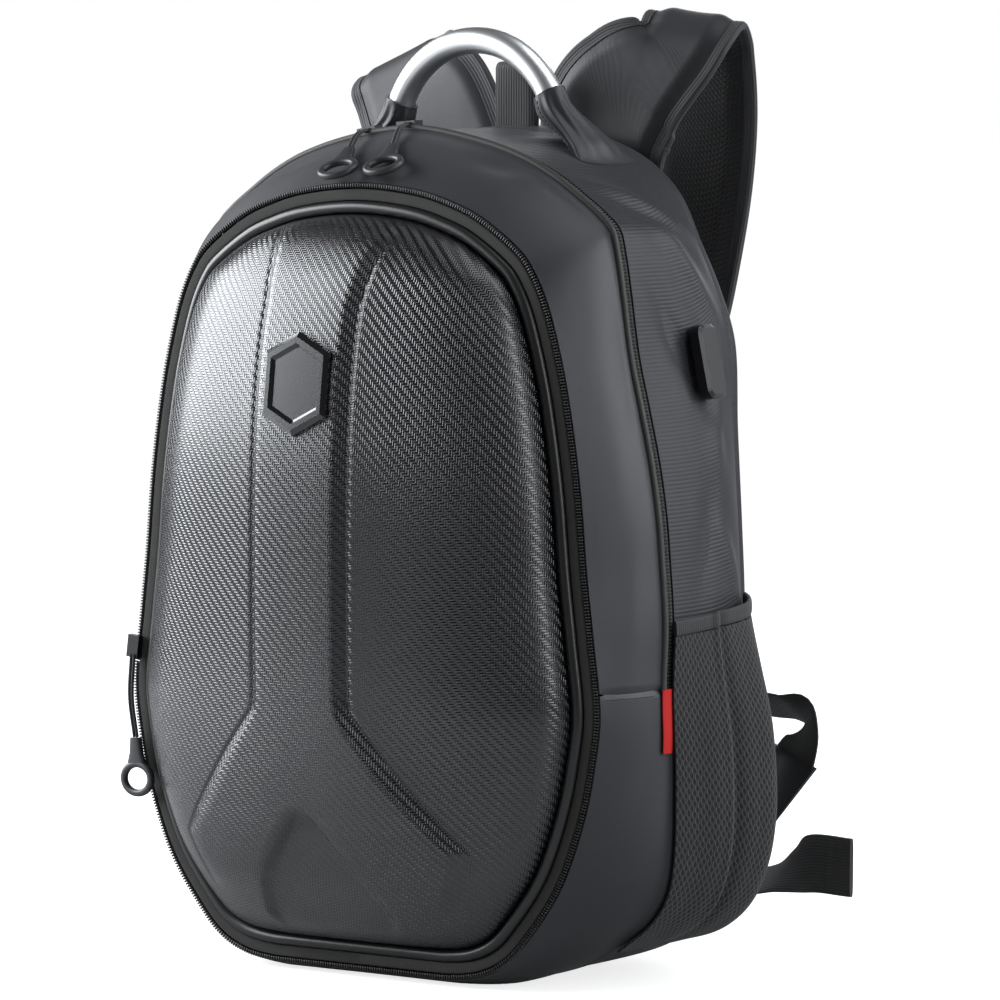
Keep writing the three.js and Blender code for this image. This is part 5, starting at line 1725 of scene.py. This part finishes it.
@dataclass
class ShoulderStrap:
    """Padded strap with bound edges and an air-mesh face towards the wearer.

    Args:
        side: 1 for +X, -1 for -X.
        suffix: right or left.
        sides: points round the section.
        edge_half: half thickness under the bindings in mm.
        edge_span: distances from the edge between which the padding fills out in mm.
        spacing: distance between stations in mm.
        lining_rise: how far the lining stands off the pad in mm.
        binding_rise: how far the bindings stand off the pad in mm.
        sunk: how far lining and bindings reach into the pad in mm.
    """

    side: int
    suffix: str
    sides: int = 96
    edge_half: float = 2.0
    edge_span: tuple[float, float] = (4, 17)
    spacing: float = 2.2
    lining_rise: float = 0.5
    binding_rise: float = 0.6
    sunk: float = 0.3

    def stations(self) -> tuple[Array, Array, Array]:
        """Middle line, width direction and half width along the strap, from its table of shares.

        Returns:
            (n, 3) points, (n, 3) directions and (n,) half widths in mm.
        """
        rows = STRAP_ROWS[self.suffix]
        tilt = np.radians(rows[:, 4])
        seat = PANEL_Y + 3 * GAP + STRAP_THICKNESS / 2
        place = np.column_stack([
            self.side * rows[:, 0] * ZIP_HALF_WIDTH, seat + rows[:, 1] * STRAP_REACH,
            rows[:, 2] * STRAP_TOP,
        ])
        wide = np.column_stack([self.side * np.cos(tilt), 0 * tilt, -np.sin(tilt)])
        keys = np.column_stack([place, wide, rows[:, 3] * STRAP_WIDTH / 2])
        path = evenly(spline(keys, 18), self.spacing)
        return path[:, :3], unit(path[:, 3:6]), path[:, 6]

    def section(self, half: Array) -> Array:
        """Padded section: full in the middle and pinched under the bindings.

        Args:
            half: (n,) half widths in mm.
        Returns:
            (n, sides, 2) points across and out in mm.
        """
        shape = rounded_section(1.0, 1.0, self.sides, 2.0)
        x = shape[:, 0] / np.abs(shape[:, 0]).max()
        distance = half[:, None] * (1 - np.abs(x))[None]
        swell = (STRAP_THICKNESS / 2 - self.edge_half) * smoothstep(distance, *self.edge_span)
        edge = np.sqrt(np.clip(1 - np.clip(1 - distance / 2.0, 0, 1) ** 2, 0, 1))
        thick = (self.edge_half + swell) * edge * np.sign(shape[:, 1])[None]
        return np.stack([half[:, None] * x[None], thick], -1)

    def build(self) -> None:
        """The pad as a closed form with soft cross folds, its lining and its bindings."""
        path, wide, half = self.stations()
        along = unit(np.gradient(path, axis=0))
        face = unit(np.cross(along, wide))
        wide = unit(np.cross(face, along))
        flat = self.section(half)
        at = lengths(path)[:, None]
        from_edge = np.abs(flat[..., 0]) - half[:, None]
        waves = 0.9 * np.sin(at / 9.0 + 1.3 * np.sin(at / 31))
        folds = waves * np.exp(-((from_edge + 15) / 9) ** 2)
        soft = 0.7 * ripple(path[:, None] + flat[..., :1] * wide[:, None], 60, 11) + 0.5 * folds
        flat[..., 1] += soft * np.sign(flat[..., 1]) * smoothstep(-from_edge, 2, 10)
        loops = path[:, None] + flat[..., :1] * wide[:, None] + flat[..., 1:] * face[:, None]
        made = piece(f"pad_{self.suffix}", loft(loops), PAD, f"strap_pad_{self.suffix}")
        out = normals_of(np.concatenate([loops, loops[:, :1]], 1))[:, :-1]
        if ((loops - path[:, None]) * out).sum() < 0:
            out = -out
        across, rise = flat[len(path) // 2].T
        inner = np.flatnonzero(np.sign(rise) == self.side)
        order = inner[np.argsort(across[inner])][6:-6]
        self.layer("air_mesh", loops[4:-3, order], out[4:-3, order], self.lining_rise, AIR_MESH)
        spread = np.arange(-(self.sides // 9), self.sides // 9)
        for edge, middle in (("outer", 0), ("inner", self.sides // 2)):
            index = (spread + middle) % self.sides
            name = f"binding_{edge}"
            self.layer(name, loops[:, index], out[:, index], self.binding_rise, BINDING)

    def layer(self, name: str, face: Array, out: Array, rise: float, finish: Finish) -> None:
        """Thin closed cover over a stretch of the pad, from `sunk` under it to `rise` over it.

        Args:
            name: first part of the piece's name.
            face: (stations, n, 3) points of the pad in mm.
            out: outward directions there.
            rise: height over the pad in mm.
            finish: finish of the cover.
        """
        both = np.concatenate([face + out * rise, (face - out * self.sunk)[:, ::-1]], 1)
        piece(f"{name}_{self.suffix}", loft(both), finish)


@dataclass
class LowerWebbing:
    """Webbing from the buckle to its wing, and the free tail with its sewn end.

    Args:
        side: 1 for +X, -1 for -X.
        suffix: right or left.
        hem_length: length of the tail's folded end in mm.
        hem_rise: how much thicker that end is, as a share.
        wing_overlap: how far the wing laps over the webbing's end in mm.
        wing_foot: height of the wing's lower corner in mm.
        wing_wall: thickness of the wing in mm.
    """

    side: int
    suffix: str
    hem_length: float = 16
    hem_rise: float = 0.8
    wing_overlap: float = 5.0
    wing_foot: float = 54.0
    wing_wall: float = 2.0

    def band_rows(self, table: Array) -> tuple[Array, Array]:
        """Middle line and width direction of a band.

        Args:
            table: rows of shares across, behind and up, and of the width's direction.
        Returns:
            (n, 3) points in mm and (n, 3) directions.
        """
        place = np.column_stack([
            self.side * table[:, 0] * ZIP_HALF_WIDTH,
            BUCKLE_BACK + WEBBING_THICKNESS / 2 + table[:, 1] * STRAP_REACH,
            table[:, 2] * BUCKLE_RISE,
        ])
        wide = unit(table[:, 3:6]) * [self.side, 1, 1]
        rows = evenly(spline(np.column_stack([place, wide]), 14), 2.0)
        return rows[:, :3], unit(rows[:, 3:6])

    def build(self) -> None:
        """Both bands, with the tail's folded end, and the wing's sewn triangle."""
        section = rounded_section(WEBBING_WIDTH / 2, WEBBING_THICKNESS / 2, 24, 5)
        path, wide = self.band_rows(LOOP_ROWS)
        band = swept(path, wide, section)
        piece(f"webbing_{self.suffix}", band, WEBBING, f"strap_webbing_{self.suffix}")
        self.wing(path, wide)
        path, wide = self.band_rows(TAIL_ROWS)
        at = lengths(path)
        hem = smoothstep(at, at[-1] - self.hem_length, at[-1] - self.hem_length + 2)
        thick = WEBBING_THICKNESS / 2 * (1 + self.hem_rise * hem)
        section = rounded_section(np.full(len(path), WEBBING_WIDTH / 2), thick, 24, 5)
        tail = swept(path, wide, section)
        piece(f"tail_{self.suffix}", tail, WEBBING, f"webbing_tail_{self.suffix}")

    def wing(self, path: Array, wide: Array) -> None:
        """Ruled cloth between the webbing's lower end and the wall's rear seam.

        Args:
            path: middle line of the webbing in mm.
            wide: its width direction.
        """
        down = unit(path[-1] - path[-2])
        edge = path[-1] - down * self.wing_overlap
        outer = edge + wide[-1] * (WEBBING_WIDTH / 2 + 0.8)
        near = edge - wide[-1] * (WEBBING_WIDTH / 2 + 0.8)
        point, out = RearWall.side(1.0, np.array([near[2], self.wing_foot]))
        seam = lifted(point + out * 3.4, REAR_Y + 3) * [self.side, 1, 1]
        s = np.linspace(0, 1, 24)[:, None, None]
        t = np.linspace(0, 1, 24)[None, :, None]
        ends = (outer * (1 - t) + near * t, seam[1] * (1 - t) + seam[0] * t)
        grid = ends[0] * (1 - s) + ends[1] * s
        swell = 0.8 * np.sin(np.pi * s[..., 0]) * np.sin(5 * t[..., 0])
        grid = grid + normals_of(grid) * swell[..., None]
        grid = grid + normals_of(grid) * self.wing_wall / 2
        wing = walled(grid, self.wing_wall)
        piece(f"wing_{self.suffix}", wing, PAD, f"wing_tab_{self.suffix}")


# Small fittings


@dataclass
class ZipPull:
    """Slider, doubled cord and moulded ring.

    Args:
        suffix: name of the pull.
        seat: point on the teeth in mm.
        out: outward direction at the teeth.
        along: direction of the teeth.
        up: normal of the plane the ring lies in.
        fall: direction the pull hangs in before its swing.
        lift: ring plane above the seat in mm.
        cord: cord length in mm.
        swing: sideways swing.
        slider: width and length of the slider in mm.
        slider_rise: height of its top over the teeth in mm.
        strand: radius of a strand of the cord in mm.
        strand_offset: distance of a strand from the cord's middle in mm.
        neck: length of the ring's neck in mm.
        ring_half: half axes of the ring's middle line in mm.
        ring_reach: distance of the ring's centre from the cord's end in mm.
    """

    suffix: str
    seat: Array
    out: Array
    along: Array
    up: Array
    fall: Array
    lift: float
    cord: float
    swing: float
    slider: tuple[float, float] = (8, 13)
    slider_rise: float = 4.3
    strand: float = 0.95
    strand_offset: float = 1.1
    neck: float = 15
    ring_half: tuple[float, float] = (10.0, 8.5)
    ring_reach: float = 13.6 + 10.5

    def build(self) -> None:
        """The hard slider is the CAD node; cord and ring are swept round sections."""
        kept(f"zip_slider_{self.suffix}", PLASTIC, 1.1)
        hang = unit(self.fall + unit(np.cross(self.fall, self.up)) * self.swing)
        sideways = np.cross(self.out, self.along)
        width, length = self.slider
        reach = (abs(hang @ sideways) * width + abs(hang @ self.along) * length) / 2
        start = self.seat + self.out * self.slider_rise + hang * (reach - 2)
        end = self.seat + hang * (reach + self.cord) + self.up * self.lift
        middle = (start + end) / 2 + self.up * 3
        side = unit(np.cross(hang, self.up))
        self.strands(spline(np.array([start, middle, end]), 14), side)
        self.ring(end, hang, side)

    def strands(self, line: Array, side: Array) -> None:
        """Two round strands beside the middle line of the cord.

        Args:
            line: (n, 3) middle line in mm.
            side: direction from one strand to the other.
        """
        wide = np.tile(side, (len(line), 1))
        section = rounded_section(self.strand, self.strand, 10, 2)
        strands = [swept(line + side * k * self.strand_offset, wide, section) for k in (-1, 1)]
        piece(f"cord_{self.suffix}", join(*strands), WEBBING, f"pull_cord_{self.suffix}")

    def ring(self, end: Array, hang: Array, side: Array) -> None:
        """Moulded neck that widens, and an elliptical ring under it.

        Args:
            end: end of the cord in mm.
            hang: direction in which the ring hangs.
            side: direction across it.
        """
        neck_line = end + hang[None] * np.linspace(0.4, self.neck, 14)[:, None]
        half = np.interp(np.linspace(0, 1, 14), [0, 0.6, 1], [3.6, 4.6, 6.6])
        section = rounded_section(half, np.full(14, 2.0), 18, 3.2)
        neck = swept(neck_line, np.tile(side, (14, 1)), section)
        turn = 2 * np.pi * np.arange(56) / 56
        centre = end + hang * self.ring_reach
        across, down = self.ring_half
        line = centre + side * across * np.cos(turn)[:, None] + hang * down * np.sin(turn)[:, None]
        section = rounded_section(2.0, 2.1, 14, 2.6)
        ring = swept(line, np.tile(self.up, (56, 1)), section, ring=True)
        piece(f"ring_{self.suffix}", join(neck, ring), RUBBER, f"pull_ring_{self.suffix}")


@dataclass
class Fittings:
    """Badge, charging port, buckles, red tab and zip pulls.

    Args:
        main_pulls: name, place across, cord length in mm and swing of the main zip's pulls.
        shell_cord: cord length of the shell's pull in mm.
        shell_swing: its swing.
        shell_lift: how far its ring stands off the slider in mm.
        slider_middle: depth from the slider's middle to its seat in mm.
        tab_forward: how far the tab lies before its CAD node in mm.
        tab_half: half thickness of the tab in mm.
    """

    main_pulls: tuple[tuple[str, float, float, float], ...] = (
        ("main_a", -34.0, 31.0, -0.33), ("main_b", -6.0, 27.0, -0.36),
    )
    shell_cord: float = 46.0
    shell_swing: float = -0.05
    shell_lift: float = 4.7
    slider_middle: float = 2.3
    tab_forward: float = 3
    tab_half: float = 0.65

    def build(self) -> None:
        """Hard CAD nodes with softened edges, the tab ribbon, and three pulls."""
        kept("badge", BADGE, 0.5)
        kept("charging_port", PLASTIC, 1.2)
        for suffix in ("right", "left"):
            kept(f"strap_buckle_{suffix}", PLASTIC, 0.9)
        self.tab()
        for pull in self.pulls():
            pull.build()

    def tab(self) -> None:
        """A slightly waved ribbon with rounded edges, standing on the seam."""
        low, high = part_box("label_tab")
        x, y0, y1 = (low.x + high.x) / 2 / MM, low.y / MM, high.y / MM
        z = np.linspace(low.z / MM + 0.2, high.z / MM - 0.2, 30)
        y = np.full_like(z, (y0 + y1) / 2 - self.tab_forward)
        path = np.stack([x + 0.3 * np.sin(z / 7), y, z], -1)
        wide = np.tile([0.0, 1.0, 0.0], (len(z), 1))
        ribbon = swept(path, wide, rounded_section((y1 - y0) / 2, self.tab_half, 16, 3))
        piece("red_tab", ribbon, LABEL, "label_tab")

    def pulls(self) -> list[ZipPull]:
        """The two pulls of the main zip, lying on the upper gusset, and the shell's, hanging.

        Returns:
            The three pulls.
        """
        slope = math.atan2(ZIP_HEIGHT - RIM_HEIGHT - RIM_LIFT, ZIP_Y - RIM_Y)
        up = np.array([0, -math.sin(slope), math.cos(slope)])
        fall = np.array([0, -math.cos(slope), -math.sin(slope)])
        crest = ZIP.at(np.linspace(TOP_STEP, TOP_STEP + 8, 200)) + np.array([0, TEETH_RISE])
        made = []
        for suffix, x, cord, swing in self.main_pulls:
            i = int(np.searchsorted(-crest[:, 0], -x))
            across, rise = unit(crest[i] - crest[i - 1])
            out, along = np.array([rise, 0, -across]), np.array([across, 0, rise])
            seat = np.array([x, ZIP_Y, crest[i, 1]])
            lift = crest[0, 1] - crest[i, 1] + GUSSET_BULGE + 3 * GAP
            made.append(ZipPull(suffix, seat, out, along, up, fall, lift, cord, swing))
        low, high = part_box("zip_slider_shell")
        seat = np.array((low + high) / 2) / MM + [0, self.slider_middle, 0]
        out, along = np.array([0, -1.0, 0]), np.array([0, 0, -1.0])
        made.append(ZipPull(
            "shell", seat, out, along, out, along, self.shell_lift, self.shell_cord, self.shell_swing
        ))
        return made


# Studio


@dataclass
class Studio:
    """Floor, soft boxes, backdrop light and the camera at the photograph's angle.

    Args:
        lights: name, azimuth, height, distance, size and power of each soft box.
        tint: colour of the soft boxes.
        aim: height that they face in m.
        floor_size: side of the floor in m.
        floor_grey: its colour.
        floor_glow: its emission near the object and far away, seen by the camera alone.
        glow_span: distances between which that emission changes in m.
        ambient: strength of the world's light on the object.
        lens: focal length and sensor width in mm.
        turn: the camera's angle to the right of the front in degrees.
        down: its angle downwards in degrees.
        place: its place in m.
    """

    lights: tuple[tuple[str, float, float, float, tuple[float, float], float], ...] = (
        ("soft_left", -65, 0.92, 1.7, (1.8, 1.25), 84),
        ("edge_right", 82, 0.85, 1.9, (0.4, 1.2), 12),
        ("soft_right", 126, 0.95, 1.8, (1.2, 1.3), 27),
        ("overhead", 110, 2.1, 0.8, (1.3, 1.3), 14),
        ("back_fill", 205, 0.9, 2.2, (1.4, 1.4), 16),
    )
    tint: Triple = (0.93, 0.96, 1.0)
    aim: float = 0.27
    floor_size: float = 80
    floor_grey: float = 0.45
    floor_glow: tuple[float, float] = (0.78, 1.0)
    glow_span: tuple[float, float] = (0.25, 1.1)
    ambient: float = 0.08
    lens: tuple[float, float] = (216, 36)
    turn: float = 36.5
    down: float = 4.004
    place: Triple = (2.06615, -2.74412, 0.50611)

    def build(self) -> None:
        """Places floor, lights, world and camera."""
        self.floor()
        for light in self.lights:
            self.box_light(*light)
        self.world()
        self.camera()
        bpy.context.scene.view_settings.view_transform = "Standard"

    def floor(self) -> None:
        """Wide matt plane that glows to the camera, more so away from the object."""
        bpy.ops.mesh.primitive_plane_add(size=self.floor_size, location=(0, 0, 0))
        floor = bpy.context.object
        floor.name = "floor"
        surface = bpy.data.materials.new("floor")
        surface.use_nodes = True
        shader = surface.node_tree.nodes["Principled BSDF"]
        shader.inputs["Base Color"].default_value = (*[self.floor_grey] * 3, 1)
        shader.inputs["Roughness"].default_value = 0.9
        shader.inputs["Emission Color"].default_value = (1, 1, 1, 1)
        nodes = Nodes(surface.node_tree)
        place = nodes.new("ShaderNodeTexCoord")
        far = nodes.new("ShaderNodeVectorMath", operation="LENGTH")
        nodes.link(place.outputs["Object"], far.inputs[0])
        fade = nodes.new("ShaderNodeMapRange", interpolation_type="SMOOTHSTEP")
        for name, value in zip(("From Min", "From Max"), self.glow_span):
            fade.inputs[name].default_value = value
        for name, value in zip(("To Min", "To Max"), self.floor_glow):
            fade.inputs[name].default_value = value
        nodes.link(far.outputs["Value"], fade.inputs["Value"])
        seen = nodes.new("ShaderNodeLightPath")
        glow = nodes.math("MULTIPLY", fade.outputs[0], seen.outputs["Is Camera Ray"])
        nodes.link(glow, shader.inputs["Emission Strength"])
        floor.data.materials.append(surface)

    def box_light(
        self, name: str, azimuth: float, height: float, distance: float,
        size: tuple[float, float], power: float,
    ) -> None:
        """Rectangular soft box that faces the object.

        Args:
            name: name of the light.
            azimuth: angle to the right of the front in degrees.
            height: height in m.
            distance: distance from the upright axis in m.
            size: width and height in m.
            power: power in W.
        """
        data = bpy.data.lights.new(name, "AREA")
        data.shape = "RECTANGLE"
        data.size, data.size_y = size
        data.energy = power
        data.color = self.tint
        light = bpy.data.objects.new(name, data)
        bpy.context.scene.collection.objects.link(light)
        angle = math.radians(azimuth)
        light.location = (distance * math.sin(angle), -distance * math.cos(angle), height)
        aim = Vector((0, 0, self.aim)) - light.location
        light.rotation_euler = aim.to_track_quat("-Z", "Y").to_euler()

    def world(self) -> None:
        """White to the camera, and a weak even light on the object."""
        world = bpy.data.worlds.new("studio")
        bpy.context.scene.world = world
        world.use_nodes = True
        nodes = Nodes(world.node_tree)
        backdrop = world.node_tree.nodes["Background"]
        backdrop.inputs["Color"].default_value = (1, 1, 1, 1)
        seen = nodes.new("ShaderNodeLightPath").outputs["Is Camera Ray"]
        strength = nodes.math("MULTIPLY_ADD", seen, 1 - self.ambient, self.ambient)
        nodes.link(strength, backdrop.inputs["Strength"])

    def camera(self) -> None:
        """Level camera about 3.5 m away, turned to the right of the front and tilted down."""
        turn, down = math.radians(self.turn), math.radians(self.down)
        right = Vector((math.cos(turn), math.sin(turn), 0))
        level = Vector((-math.sin(turn), math.cos(turn), 0))
        forward = level * math.cos(down) - Vector((0, 0, math.sin(down)))
        up = level * math.sin(down) + Vector((0, 0, math.cos(down)))
        data = bpy.data.cameras.new("camera")
        data.lens, data.sensor_width = self.lens
        data.clip_end = 60
        camera = bpy.data.objects.new("camera", data)
        bpy.context.scene.collection.objects.link(camera)
        columns = Matrix((right, up, -forward)).transposed()
        camera.matrix_world = Matrix.Translation(Vector(self.place)) @ columns.to_4x4()
        bpy.context.scene.camera = camera


def main() -> None:
    """Builds every sub-assembly in order, then the studio."""
    logging.basicConfig(level=logging.INFO, format="%(message)s")
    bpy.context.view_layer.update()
    for part in (
        FrontShell(), ShellRim(), Gussets(), MainZip(), RearWall(), BackPanel(),
        SidePocket(1, "right"), SidePocket(-1, "left"), CarryHandle(), HangLoop(),
        ShoulderStrap(1, "right"), ShoulderStrap(-1, "left"),
        LowerWebbing(1, "right"), LowerWebbing(-1, "left"), Fittings(), Studio(),
    ):
        log.info("building %s", type(part).__name__)
        part.build()


if __name__ == "__main__":
    main()
